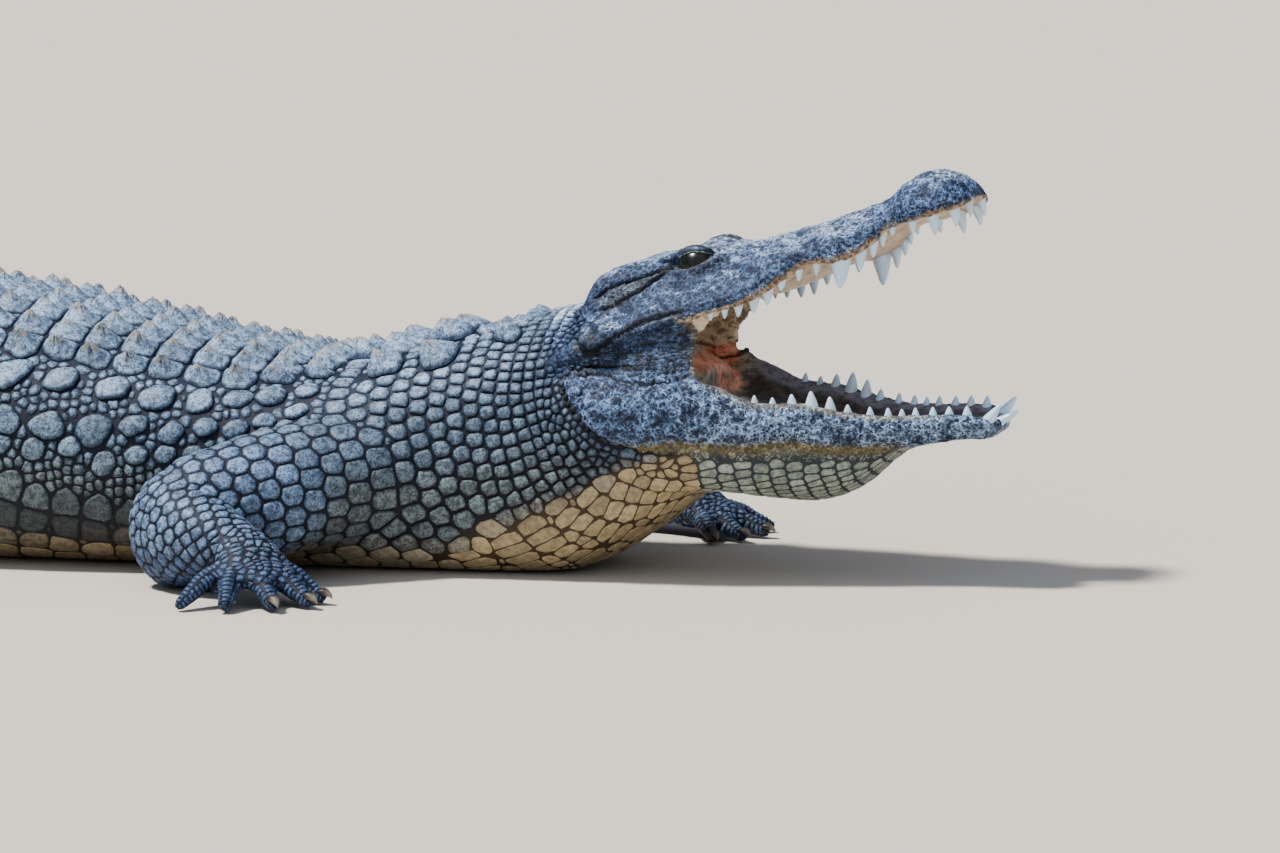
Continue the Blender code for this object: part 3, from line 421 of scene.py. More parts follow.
def tube_surface(stations, along, around, inset=SCALE_DEPTH, floor=SCALE_DEPTH):
    """An oval tube through (x, y, z, half width, half height) stations, along 0 to 1
    between the end stations and past them over round ends, pressed flat at the floor."""
    along, around = np.broadcast_arrays(along, around)
    keyed = [(i / (len(stations) - 1), *row) for i, row in enumerate(stations)]
    inside = np.clip(along, 0, 1)
    rows = curve(keyed, inside)
    before, behind = (curve(keyed, np.clip(inside + by, 0, 1))[..., :3] for by in (0.02, -0.02))
    ahead = (before - behind) / np.linalg.norm(before - behind, axis=-1, keepdims=True)
    sideways = np.cross(np.broadcast_to(UP, ahead.shape), ahead)
    sideways /= np.linalg.norm(sideways, axis=-1, keepdims=True)
    over = np.cross(ahead, sideways)
    past = np.clip(np.abs(along - inside) / DOME, 0, 1) * np.pi / 2
    wide, high = (rows[..., k] - inset for k in (3, 4))
    centre = rows[..., :3] + ahead * (np.sign(along - inside) * np.sin(past) * wide)[..., None]
    points = (centre + sideways * (wide * np.cos(past) * np.cos(around))[..., None]
              + over * (high * np.cos(past) * np.sin(around))[..., None])
    points[..., 2] = np.maximum(points[..., 2], floor)
    return points


DOME = 0.2                    # how far past its end a tube's round end runs
tube_turns = np.linspace(0, 2 * np.pi, 64, endpoint=False)[None]
digit_places, palms = [], {}
for name, (upper, lower), (heading, knuckle_height, digits) in LIMBS:
    for label, stations in (("_upper", upper), ("_lower", lower)):
        steps = np.linspace(-DOME + 0.004, 1 + DOME - 0.004, 90)[:, None]
        flesh.append(solid("flesh_" + name + label, tube_surface(stations, steps, tube_turns)))
    wrist = np.array(lower[-1][:3])
    turn = np.radians(heading)
    straight = np.array((np.cos(turn), np.sin(turn), 0.0))
    square = np.array((-straight[1], straight[0], 0.0))
    knuckles = wrist + straight * PALM
    knuckles[2] = knuckle_height
    palm = [(*(wrist * (1 - a) + knuckles * a), w, h) for a, w, h in PALM_SECTIONS]
    palms[name] = palm
    steps = np.linspace(-DOME + 0.004, 1 + DOME - 0.004, 60)[:, None]
    flesh.append(solid("flesh_" + name, tube_surface(palm, steps, tube_turns, PALM_DEPTH)))
    for k, (spread, length, radius) in enumerate(digits):
        turn = np.radians(heading + spread)
        along = np.array((np.cos(turn), np.sin(turn), 0.0))
        start = knuckles - straight * DIGIT_ROOT + square * np.sin(np.radians(spread)) * 0.034
        reach = np.array((0.0, 0.25, 0.5, 0.75, 1.0))
        bones = start + along * (reach * (length + DIGIT_ROOT))[:, None]
        low = radius * 0.66
        bones[:, 2] = low + (knuckle_height - low) * np.array((1.0, 0.92, 0.68, 0.34, 0.0))
        thick = radius * np.array((1.05, 0.95, 1.02, 0.84, 0.66))
        digit = [(*point, t, t) for point, t in zip(bones, thick)]
        digit_places.append((name, k, digit, along))
        flesh.append(solid("flesh_%s_%d" % (name, k),
                           tube_surface(digit, steps, tube_turns, DIGIT_DEPTH, PALM_DEPTH)))

# -------------------------------------------------------------------------- the skin
# One unbroken hide over all of it: the lengths of flesh are fused into a single fine
# surface and relaxed, so that shoulder, hip and jaw run into each other with no seam.
SKIN_GRAIN = 0.0035
SKIN_FACES = 112000
BLEND_REACH = 0.115           # round each shoulder and hip the surface is relaxed further


def applied(made):
    """A mesh with its modifiers made real."""
    shapes = bpy.context.evaluated_depsgraph_get()
    done = bpy.data.meshes.new_from_object(made.evaluated_get(shapes), depsgraph=shapes)
    made.modifiers.clear()
    made.data = done
    return made


def points_of(made):
    """A mesh's points in the crocodile's own measure."""
    flat = np.empty(len(made.data.vertices) * 3)
    made.data.vertices.foreach_get("co", flat)
    return flat.reshape(-1, 3) - HOME


def normals_of(made):
    """The outward direction at each point of a mesh."""
    flat = np.empty(len(made.data.vertices) * 3)
    made.data.vertex_normals.foreach_get("vector", flat)
    return flat.reshape(-1, 3)


def weigh(made, name, weights):
    """A vertex group with a weight for every point, in steps of a twentieth."""
    group = made.vertex_groups.new(name=name)
    steps = np.round(np.asarray(weights) * 20).astype(int)
    for step in np.unique(steps[steps > 0]):
        group.add(np.nonzero(steps == step)[0].tolist(), step / 20, "REPLACE")


joined = bmesh.new()
for lump in flesh:
    joined.from_mesh(lump.data)
    bpy.data.objects.remove(lump)
skin = mesh_object("skin", np.zeros((0, 3)), [])
joined.to_mesh(skin.data)
joined.free()
fuse = skin.modifiers.new("fuse", "REMESH")
fuse.mode = "VOXEL"
fuse.voxel_size = SKIN_GRAIN
applied(skin)
places = points_of(skin)
roots = np.array([upper[0][:3] for name, (upper, lower), paw in LIMBS])
roots = roots * 0.62 + np.array([upper[1][:3] for name, (upper, lower), paw in LIMBS]) * 0.38
nearness = np.linalg.norm(places[:, None] - roots[None], axis=2).min(1)
jaw_root = np.linalg.norm((places - (-0.050, 0.0, 0.150)) * (1.0, 0.0, 0.55), axis=1)
jaw_root[np.abs(places[:, 1]) < 0.07] += 9.0         # only where jaw and neck meet outside
melt = np.maximum(1 - smooth(nearness, BLEND_REACH * 0.6, BLEND_REACH), 1 - smooth(jaw_root, 0.025, 0.045))
weigh(skin, "joins", melt)
weigh(skin, "plain", 1 - smooth(places[:, 0], -0.03, 0.0) * smooth(places[:, 2], 0.06, 0.09))
for name, turns, group in (("relax", 6, ""), ("blend", 70, "joins")):
    relax = skin.modifiers.new(name, "SMOOTH")
    relax.factor = 0.5
    relax.iterations = turns
    relax.vertex_group = group
thin = skin.modifiers.new("thin", "DECIMATE")
thin.ratio = min(1.0, SKIN_FACES / (2 * len(skin.data.polygons)))
thin.vertex_group = "plain"
thin.vertex_group_factor = 1.0
applied(skin)
skin.vertex_groups.clear()

# The head's folds are worked into the hide: lids, ear flap, the knob of the jaw joint,
# the cheek's hollow and the creases where jaw muscle, throat and neck meet.
EYE_SET = np.array((0.129, 0.0505, 0.0375))    # eyeball, in the skull's plane
EYE_SIZE = 0.0205
LID = 0.0018
# where the lids meet the eyeball: place along the snout, upper edge, lower edge
LIDS = ((0.1085, 0.0446, 0.0436), (0.1125, 0.0482, 0.0408), (0.1170, 0.0508, 0.0386),
        (0.1260, 0.0524, 0.0366), (0.1345, 0.0512, 0.0361), (0.1440, 0.0464, 0.0374),
        (0.1500, 0.0412, 0.0402))


def ripple(points, size, seed):
    """Soft blotches from -1 to 1: a few crossed waves of about that size."""
    rng = np.random.default_rng(seed)
    total = np.zeros(len(points))
    for k in range(6):
        way = rng.normal(size=3)
        way *= 2 * np.pi / size / np.linalg.norm(way) * rng.uniform(0.7, 1.4)
        total += np.sin(points @ way + rng.uniform(0, 2 * np.pi))
    return total / 3.0


def unit(vectors):
    """Vectors brought to length one."""
    return vectors / np.maximum(np.linalg.norm(vectors, axis=-1, keepdims=True), 1e-9)


def hill(away, reach):
    """1 at no distance, falling off over the reach as a bell."""
    return np.exp(-(away / reach) ** 2)


def run_along(path):
    """Distance covered at each sample of a path, or of many (paths x samples x axes)."""
    gap = np.linalg.norm(np.diff(path, axis=-2), axis=-1)
    return np.concatenate((np.zeros((*gap.shape[:-1], 1)), np.cumsum(gap, -1)), -1)


def to_line(x, z, line):
    """Distance from each point to a bent line in the side view, and how far along it."""
    line = np.array(line, float)
    run = np.diff(line, axis=0)
    spans, before = np.linalg.norm(run, axis=1), run_along(line)
    at = np.stack((x, z), -1)[:, None] - line[None, :-1]
    share = np.clip((at * run).sum(-1) / spans ** 2, 0, 1)
    far = np.linalg.norm(at - share[..., None] * run, axis=-1)
    best = far.argmin(1)
    pick = np.arange(len(x))
    return far[pick, best], (before[best] + share[pick, best] * spans[best]) / before[-1]


# creases in the side view: X and height along each, its half width, depth, and how far
# it fades in and out
EAR_TOP = ((0.018, 0.290), (0.029, 0.300), (0.041, 0.3065), (0.065, 0.3145), (0.080, 0.3200),
           (0.098, 0.3290))
EAR_LOW = ((0.103, 0.3325), (0.092, 0.3215), (0.080, 0.3115), (0.067, 0.3015), (0.047, 0.289),
           (0.022, 0.277))
UNDER_SKULL = ((0.0105, 0.2600), (0.0135, 0.2500), (0.0225, 0.2415), (0.038, 0.2450), (0.054, 0.257),
               (0.069, 0.268), (0.089, 0.2775), (0.112, 0.2840), (0.129, 0.287))
FOLD_LOW = ((-0.012, 0.214), (0.015, 0.2195), (0.044, 0.2205), (0.069, 0.2140), (0.096, 0.2118),
            (0.119, 0.2155), (0.137, 0.2220))
FOLD_HIGH = ((0.002, 0.2205), (0.015, 0.2268), (0.034, 0.2282), (0.073, 0.2280), (0.084, 0.2320))
FOLD_TOP = ((0.012, 0.234), (0.028, 0.2385), (0.052, 0.2425))
JAW_BACK = ((-0.004, 0.224), (-0.001, 0.212), (0.010, 0.191), (0.027, 0.171), (0.046, 0.154), (0.072, 0.144),
            (0.100, 0.1400), (0.135, 0.1395))
CREASES = ((EAR_TOP, 0.0014, 0.0034, 0.10), (EAR_LOW, 0.0021, 0.0044, 0.12),
           (UNDER_SKULL, 0.0028, 0.0042, 0.05), (FOLD_LOW, 0.0013, 0.0024, 0.10),
           (FOLD_HIGH, 0.0012, 0.0018, 0.2), (FOLD_TOP, 0.0013, 0.0018, 0.2),
           (JAW_BACK, 0.0017, 0.0040, 0.14))
# soft swellings: X, height, reach along X, reach up, how proud
SWELLS = ((0.032, 0.2570, 0.019, 0.0130, 0.0110), (0.030, 0.2595, 0.0080, 0.0056, -0.0100),
          (0.060, 0.180, 0.050, 0.032, 0.0045), (0.060, 0.300, 0.020, 0.0075, 0.0020),
          (0.030, 0.2835, 0.012, 0.006, 0.0036), (0.088, 0.255, 0.032, 0.016, -0.0050))


def lid_edges(along):
    """Heights of the upper and the lower lid's edge at places along the snout."""
    edges = curve(LIDS, np.clip(along, LIDS[0][0], LIDS[-1][0]))
    return edges[:, 0], edges[:, 1]


def in_lids(along, high):
    """How far a point in the side view is inside the almond between the lids, in metres."""
    upper, lower = lid_edges(along)
    return np.minimum.reduce((upper - high, high - lower, along - LIDS[0][0], LIDS[-1][0] - along))


fine = bmesh.new()
fine.from_mesh(skin.data)
along, across, high = to_skull(np.array([face.calc_center_median() for face in fine.faces]) - HOME)
wanted = ((along > -0.01) & (along < 0.175) & (high > -0.075) & (high < 0.068) & (np.abs(across) > 0.042)
          & (high < 0.07))
chosen = [face for face, keep in zip(fine.faces, wanted) if keep]
edges = list({edge for face in chosen for edge in face.edges})
bmesh.ops.subdivide_edges(fine, edges=edges, cuts=1, use_grid_fill=True, smooth=0.0)
bmesh.ops.triangulate(fine, faces=fine.faces)
fine.to_mesh(skin.data)
fine.free()
places = points_of(skin)
outwards = normals_of(skin)
side = np.where(places[:, 1] < 0, -1.0, 1.0)
x, z = places[:, 0], places[:, 2]
facing = smooth(outwards[:, 1] * side, 0.05, 0.4) * smooth(np.abs(places[:, 1]), 0.045, 0.06)
sunk = np.zeros(len(x))
for line, wide, deep, fade in CREASES:
    far, share = to_line(x, z, line)
    sunk -= deep * hill(far, wide) * smooth(share, 0, fade) * smooth(1 - share, 0, fade)
for mid_x, mid_z, long, tall, proud in SWELLS:
    sunk += proud * hill(x - mid_x, long) * hill(z - mid_z, tall)
places = places + outwards * (sunk * facing)[:, None]
# rough bone under the head's skin, and the nostrils
along, across, high = to_skull(places)
on_bone = smooth(along, -0.02, 0.02)
beside_jaw = smooth(x, 0.0, 0.04) * smooth(z, 0.138, 0.150) * smooth(-0.03 - high, 0, 0.01)
bony = np.maximum(on_bone * smooth(high, -0.014, -0.008), beside_jaw)
bony = bony * smooth(np.abs(outwards[:, 1]), 0.0, 0.3)
bony = np.maximum(bony, smooth(outwards[:, 2], 0.3, 0.6) * smooth(high, 0.0, 0.01) * on_bone)
rough = 0.0006 * ripple(places, 0.016, 11) + 0.0009 * ripple(places, 0.042, 12)
places = places + outwards * (bony * rough)[:, None]
# each tooth's socket swells the lip
sockets = np.zeros(len(places))
for teeth_of, table, lip_column, way, swell, run, height in (
        (UPPER_TEETH, SKULL, 8, 1.0, 0.60, along, high), (LOWER_TEETH, JAW, 6, -1.0, 0.50, x, z)):
    for at, _, radius in teeth_of:
        lip = curve(table, at)[0, lip_column]
        past_lip = height - lip - way * 1.2 * radius
        sockets += swell * radius * hill(run - at, 1.5 * radius) * hill(past_lip, 1.4 * radius)
places = places + outwards * (sockets * smooth(outwards[:, 1] * side, 0.0, 0.4))[:, None]
around_nostril = to_nostril(along, across)
lift = 0.0030 * hill(around_nostril - 0.010, 0.006) - 0.0085 * hill(around_nostril, 0.0050)
places = places + outwards * (lift * smooth(outwards[:, 2], 0.2, 0.6) * smooth(along, 0.35, 0.37))[:, None]
along, across, high = to_skull(places)
ball = np.stack((along, np.abs(across), high), -1) - EYE_SET
far = np.linalg.norm(ball, axis=1)
aim_out = ball / np.maximum(far, 1e-6)[:, None]
near_eye = (aim_out[:, 1] > 0.12) & (far < EYE_SIZE * 1.9)
rest = EYE_SET + aim_out * EYE_SIZE
inside = in_lids(rest[:, 0], rest[:, 2])
lid_shell = EYE_SIZE + LID + 0.0010 * hill(inside + 0.0022, 0.0014) - 0.0016 * hill(inside + 0.0062, 0.0016)
covered = np.maximum(far, lid_shell) + 0.0015 * hill(far - lid_shell, 0.004)
opened = EYE_SIZE - 0.0045
target = np.where(inside > 0, opened, covered)
moved = EYE_SET + aim_out * np.where(near_eye, target, far)[:, None]
moved = skull_point(moved[:, 0], moved[:, 1] * side, moved[:, 2])
places = np.where(near_eye[:, None], moved, places)
skin.data.vertices.foreach_set("co", (places + HOME).ravel())
skin.data.update()
skin.data.shade_smooth()
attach(skin, "root")
FLESH_NODES = [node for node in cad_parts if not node.startswith(("eye", "claw"))]
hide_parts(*FLESH_NODES)


# Markings, worked out from place alone so that hide and scales agree: for every point a dark tone for creases
# and specks, and a pale one for worn horn. Some of them are painted light: shade in the creases, hollows,
# nostrils and round the lids, near the floor, on the skull's sides and in the cheek's hollow, a highlight on
# the top of the bone, and the mouth's inside made brighter.
BONE = ((0.004, 0.012, 0.042), (0.240, 0.390, 0.700))
SLATE = ((0.005, 0.013, 0.042), (0.430, 0.600, 0.880))
MASSETER = ((0.003, 0.009, 0.032), (0.225, 0.360, 0.630))
# painted highlight: the bone's pale tone where it faces up, paler as if lit from above
CROWN_HIGHLIGHT = ((0.030, 0.056, 0.115), (0.640, 0.800, 1.000))
# the cheek's hollow: its own dark blue, deepened with painted shade under the skull's edge
SHADED_CHEEK = ((0.002, 0.006, 0.022), (0.105, 0.165, 0.290))
BACK = ((0.005, 0.012, 0.034), (0.310, 0.430, 0.600))
FLANK = ((0.0018, 0.0040, 0.012), (0.225, 0.285, 0.310))
UPPER_FLANK = ((0.0020, 0.0060, 0.022), (0.200, 0.290, 0.405))
LIMB = ((0.0020, 0.0060, 0.022), (0.222, 0.330, 0.510))
PAW = ((0.0020, 0.0060, 0.024), (0.108, 0.188, 0.360))
CREAM = ((0.060, 0.038, 0.018), (0.430, 0.345, 0.215))
EAR_SKIN = ((0.006, 0.012, 0.026), (0.180, 0.235, 0.310))
THROAT = ((0.032, 0.042, 0.050), (0.365, 0.405, 0.345))
OCHRE = ((0.085, 0.068, 0.030), (0.360, 0.300, 0.150))
# the palate's cream and, below, the flesh's red: their own colours made brighter as painted light for the
# shaded mouth
PALATE_LIT = ((0.200, 0.150, 0.100), (0.780, 0.660, 0.480))
ROOF = ((0.130, 0.075, 0.045), (0.520, 0.365, 0.235))
FLESH_LIT = ((0.380, 0.135, 0.090), (1.000, 0.480, 0.340))
TONGUE = ((0.012, 0.010, 0.010), (0.085, 0.068, 0.058))
LIP = ((0.120, 0.110, 0.095), (0.500, 0.480, 0.400))
GUM = ((0.060, 0.058, 0.075), (0.230, 0.225, 0.260))
MOUND = ((0.030, 0.028, 0.025), (0.400, 0.365, 0.290))


# distance behind the skull, and how far out from the middle the shoulder or hip begins
LIMB_LINE = ((-0.05, 0.40), (0.20, 0.19), (0.32, 0.20), (0.60, 0.26), (0.80, 0.24), (0.90, 0.20),
             (1.10, 0.17), (1.40, 0.60))


class Tones:
    """The dark and the pale tone at every point, laid down one pair over another."""

    def __init__(self, first, count):
        self.pair = np.broadcast_to(np.array(first), (count, 2, 3)).copy()

    def lay(self, over, weight):
        """A pair laid over by a weight for every point."""
        self.pair = self.pair * (1 - weight[:, None, None]) + np.array(over)[None] * weight[:, None, None]

    def dull(self, share):
        """The pale tone taken down by a share."""
        self.pair[:, 1] *= (1 - share)[:, None]

    def darken(self, share):
        """Both tones taken down by a share."""
        self.pair = self.pair * (1 - share)[:, None, None]


def cream_share(points):
    """How far into the cream of the chest a point is."""
    x, y, z = points.T
    line = 0.035 + (x + 0.115) * 0.50 - z + 0.006 * ripple(points, 0.05, 3)
    return (smooth(line, -0.010, 0.012) * smooth(x, -0.16, -0.12) * smooth(0.19 - x, 0, 0.03)
            * smooth(0.19 - np.abs(y), 0, 0.02))


def cheek_share(x, z):
    """How far up the cheek a place is: 0 at its lower fold, 1 under the skull."""
    low, high = (np.interp(x, *np.array(line).T) for line in (FOLD_LOW, UNDER_SKULL))
    return (z - low) / np.maximum(high - low, 0.01)


def cheek_lines(points, x, z):
    """Phase of the fine lines that run over the cheek, close together at the knob."""
    return 2 * np.pi * (9.0 * cheek_share(x, z) + 0.55 * ripple(points, 0.016, 9))


def markings(points, outward_way):
    """The two tones at each point, how bare of scales it is, and how tight over bone."""
    x, y, z = points.T
    beside = np.abs(y)
    along, across, high = to_skull(points)
    wobble = ripple(points, 0.05, 3)
    down_way = smooth(-outward_way[:, 2], 0.15, 0.75)
    tones = Tones(FLANK, len(points))
    step = np.interp(-x, -spine_x, spine_steps)
    top = curve(BODY, np.clip(step, -0.13, TAIL_TIP))[:, 0]
    share = z / top
    shield = smooth(share, 0.66, 0.86) * smooth(step, -0.02, 0.10)
    tones.lay(UPPER_FLANK, smooth(share, 0.36, 0.62))
    tones.lay(BACK, shield)
    band = smooth(np.sin(step * 2 * np.pi / 0.19 + 0.8 * wobble), 0.1, 0.8) * smooth(step, 0.95, 1.15)
    tones.dull(0.45 * band)
    # painted shade low on the body, near the floor, from the neck back; the neck outside the shield is also
    # taken a little darker
    tones.dull(0.80 * smooth(0.115 - z, 0.0, 0.07) * smooth(step, 0.18, 0.34)
               + 0.22 * smooth(0.36 - step, 0.0, 0.12) * (1 - shield))
    limb = smooth(beside - np.interp(step, *np.array(LIMB_LINE).T), 0.0, 0.04)
    far_arm = smooth(y, 0.15, 0.20) * smooth(x, -0.16, -0.10)
    limb = np.maximum(limb, far_arm)
    tones.lay(LIMB, limb)
    tones.dull(0.32 * far_arm)
    tones.lay(PAW, (1 - 0.5 * far_arm) * limb * smooth(0.052 - z, 0.0, 0.02))
    cream = cream_share(points) * (1 - limb)
    under = down_way * smooth(0.05 - z, 0.0, 0.04) * (1 - limb)
    tones.lay(CREAM, np.maximum(cream, 0.85 * under))
    skull = smooth(high, -0.020, -0.012) * smooth(along, -0.055, -0.030)
    tones.lay(BONE, skull)
    # painted shade: the bone's pale tone taken down where it faces sideways rather than up, on the skull and
    # less on the snout
    tones.dull(0.56 * skull * smooth(0.235 - along, 0.0, 0.08) * smooth(0.90 - outward_way[:, 2], 0.0, 0.25)
               + 0.26 * skull * smooth(along, 0.16, 0.24) * smooth(0.9 - outward_way[:, 2], 0.0, 0.3))
    nostril = to_nostril(along, across)
    # painted highlight on the bone where it faces up
    tones.lay(CROWN_HIGHLIGHT, skull * smooth(outward_way[:, 2], 0.74, 0.97))
    jaw_line = np.array(JAW_BACK)[::-1]
    ahead = smooth(x - np.interp(z, jaw_line[:, 1], jaw_line[:, 0]), -0.003, 0.006)
    jaw = ahead * smooth(-0.010 - high, 0.0, 0.006) * smooth(z, 0.135, 0.145)
    tones.lay(SLATE, jaw)
    tones.lay(MASSETER, jaw * smooth(0.19 - x, 0.0, 0.10))
    front = curve(CHEEK_EDGE, np.clip(z, 0.186, 0.319))[:, 0]
    web = jaw * smooth(front - x, -0.004, 0.002) * smooth(z, 0.216, 0.226) * smooth(beside, 0.085, 0.095)
    # the cheek's hollow under the skull's edge, its own dark blue made darker with painted shade
    tones.lay(SHADED_CHEEK, web)
    # painted shade in the fine lines between the cheek's folds
    drawn = smooth(np.sin(cheek_lines(points, x, z)), -0.2, 0.8)
    tones.darken(0.50 * web * drawn)
    pouch = smooth(0.148 - z, 0.0, 0.006) * smooth(x, 0.05, 0.10) * ahead
    tones.lay(THROAT, pouch)
    tones.lay(OCHRE, hill(z - 0.1465 - 0.002 * wobble, 0.006) * smooth(x, 0.02, 0.08)
              * smooth(0.36 - x, 0.0, 0.05) * ahead)
    # inside the mouth: the palate's cream and the flesh's red are made brighter than their own colour, as
    # painted light in the shaded mouth
    facing_in = -(outward_way @ (skull_point(0.0, 0.0, 1.0) - skull_point(0.0, 0.0, 0.0)))
    near = smooth(-y, 0.08, 0.09)
    roof = smooth(facing_in, 0.35, 0.7) * smooth(along, 0.092 + 0.012 * near, 0.104 + 0.010 * near)
    roof = roof * smooth(high, -0.046, -0.036) * smooth(-0.006 - high, 0.0, 0.003)
    tones.lay(PALATE_LIT, roof)
    tones.lay(ROOF, roof * smooth(along, 0.13, 0.18))
    rim = curve(JAW, np.clip(x, -0.08, JAW_TIP))
    lip_line = curve(SKULL, np.clip(along, -0.06, 0.4245))[:, 8]
    tones.lay(LIP, (1 - roof) * 0.75 * smooth(lip_line + 0.0045 - high, 0.0, 0.003)
              * smooth(along, 0.11, 0.14) * smooth(high - lip_line, -0.008, -0.004)
              * smooth(ripple(points, 0.013, 8), -0.35, 0.25))
    below = smooth(-0.03 - high, 0.0, 0.01)
    tones.lay(LIP, 0.75 * smooth(z - rim[:, 6], -0.0045, -0.0025) * smooth(x, 0.13, 0.17)
              * smooth(0.40 - x, 0.0, 0.06) * below * smooth(beside - rim[:, 5], -0.004, 0.0))
    bed = (smooth(rim[:, 5] - 0.002 - beside, 0.0, 0.006) * smooth(outward_way[:, 2], -0.3, 0.2)
           * smooth(x, 0.04, 0.06) * smooth(z, 0.150, 0.160) * below
           * smooth(rim[:, 6] + 0.010 - z, 0.0, 0.006))
    tones.lay(TONGUE, bed)
    tones.lay(GUM, bed * smooth(beside - rim[:, 3], -0.012, -0.002))
    inner = (smooth(0.185 - x, 0.0, 0.02) * smooth(x, 0.03, 0.05) * smooth(0.104 - beside, 0.0, 0.005)
             * smooth(z, 0.17, 0.19) * smooth(-0.0125 - high, -0.0005, 0.0015))
    inner = inner * np.maximum.reduce((smooth(-outward_way[:, 1] * np.sign(y), 0.0, 0.3),
                                       smooth(x - front, -0.001, 0.003),
                                       smooth(0.088 - beside, 0.0, 0.006)))
    streak = ripple(points * (1.0, 1.0, 2.5), 0.030, 5)
    inner = inner * smooth(np.where(y > 0, 0.150, 0.185) - x, 0.0, 0.015)
    tones.lay(MOUND, inner)
    tones.lay(FLESH_LIT, inner * smooth(
        z + 0.002 * streak - 0.036 * smooth(-y, -0.004, 0.012), 0.176, 0.186) * smooth(
        0.126 + 0.012 * smooth(0.085 - beside, 0.0, 0.01) + 0.004 * streak - x, 0.0, 0.010))
    tones.lay(PALATE_LIT, inner * smooth(z + 0.003 * streak - 0.35 * (x - 0.074), 0.214, 0.220))
    tones.lay(LIP, hill(x - front + 0.001, 0.0030) * smooth(beside, 0.075, 0.085)
              * smooth(z, 0.216, 0.226) * smooth(-high, 0.0, 0.003))
    top_line, low_line = (np.array(sorted(line)) for line in (EAR_TOP, EAR_LOW))
    outside = smooth(beside, 0.05, 0.06)
    ear = (smooth(np.interp(x, *top_line.T) - z, -0.0005, 0.001) * outside
           * smooth(z - np.interp(x, *low_line.T), -0.0005, 0.001)
           * smooth(x, 0.026, 0.032) * smooth(0.092 - x, 0.0, 0.004))
    tones.lay(EAR_SKIN, ear)
    # painted shade along the bottom of every crease
    for line, wide, _, fade in CREASES:
        far, run = to_line(x, z, line)
        dark = np.exp(-(far / (1.5 * wide)) ** 4) * smooth(run, 0, fade) * smooth(1 - run, 0, fade)
        tones.darken(0.86 * dark * outside)
    # painted shade in the sunk hollow in the middle of the jaw joint's knob
    tones.darken(0.80 * hill(x - 0.030, 0.009) * hill(z - 0.2590, 0.0062) * outside)
    # painted shade inside each nostril
    tones.darken(0.85 * smooth(0.0065 - nostril, 0.0, 0.003) * smooth(high, 0.005, 0.012))
    inside = in_lids(along, high)
    # painted shade in the groove round the lids and where the lids meet the eyeball
    lined = hill(inside + 0.0062, 0.0013) + hill(inside + 0.0006, 0.0009)
    tones.darken(0.85 * lined * smooth(beside, 0.035, 0.04)
                 * smooth(EYE_SIZE * 1.8 - np.hypot(along - EYE_SET[0], high - EYE_SET[2]), 0.0, 0.004))
    bare = np.maximum.reduce((roof, bed, inner, web * 0.6, skull * 0.30, jaw * 0.30))
    taut = np.maximum(skull, jaw) * (1 - np.maximum.reduce((roof, bed, inner, pouch)))
    return tones.pair, bare, taut


class Wire:
    """A shader value or colour on which plain arithmetic adds the nodes it needs."""

    def __init__(self, tree, socket):
        self.tree, self.socket = tree, socket

    def _math(self, operation, *terms):
        return self.tree.add("ShaderNodeMath", {"operation": operation}, dict(enumerate(terms)))

    def __add__(self, other):
        return self._math("ADD", self, other)

    def __sub__(self, other):
        return self._math("SUBTRACT", self, other)

    def __mul__(self, other):
        return self._math("MULTIPLY", self, other)

    def __rsub__(self, other):
        return self._math("SUBTRACT", other, self)

    __radd__, __rmul__ = __add__, __mul__

    def least(self, other):
        """The smaller of the two."""
        return self._math("MINIMUM", self, other)

    def most(self, other):
        """The larger of the two."""
        return self._math("MAXIMUM", self, other)

    def between(self, low, high):
        """0 at low, 1 at high, an S between."""
        return self.tree.add("ShaderNodeMapRange", {"interpolation_type": "SMOOTHSTEP", "clamp": True},
                             {"Value": self, "From Min": low, "From Max": high})


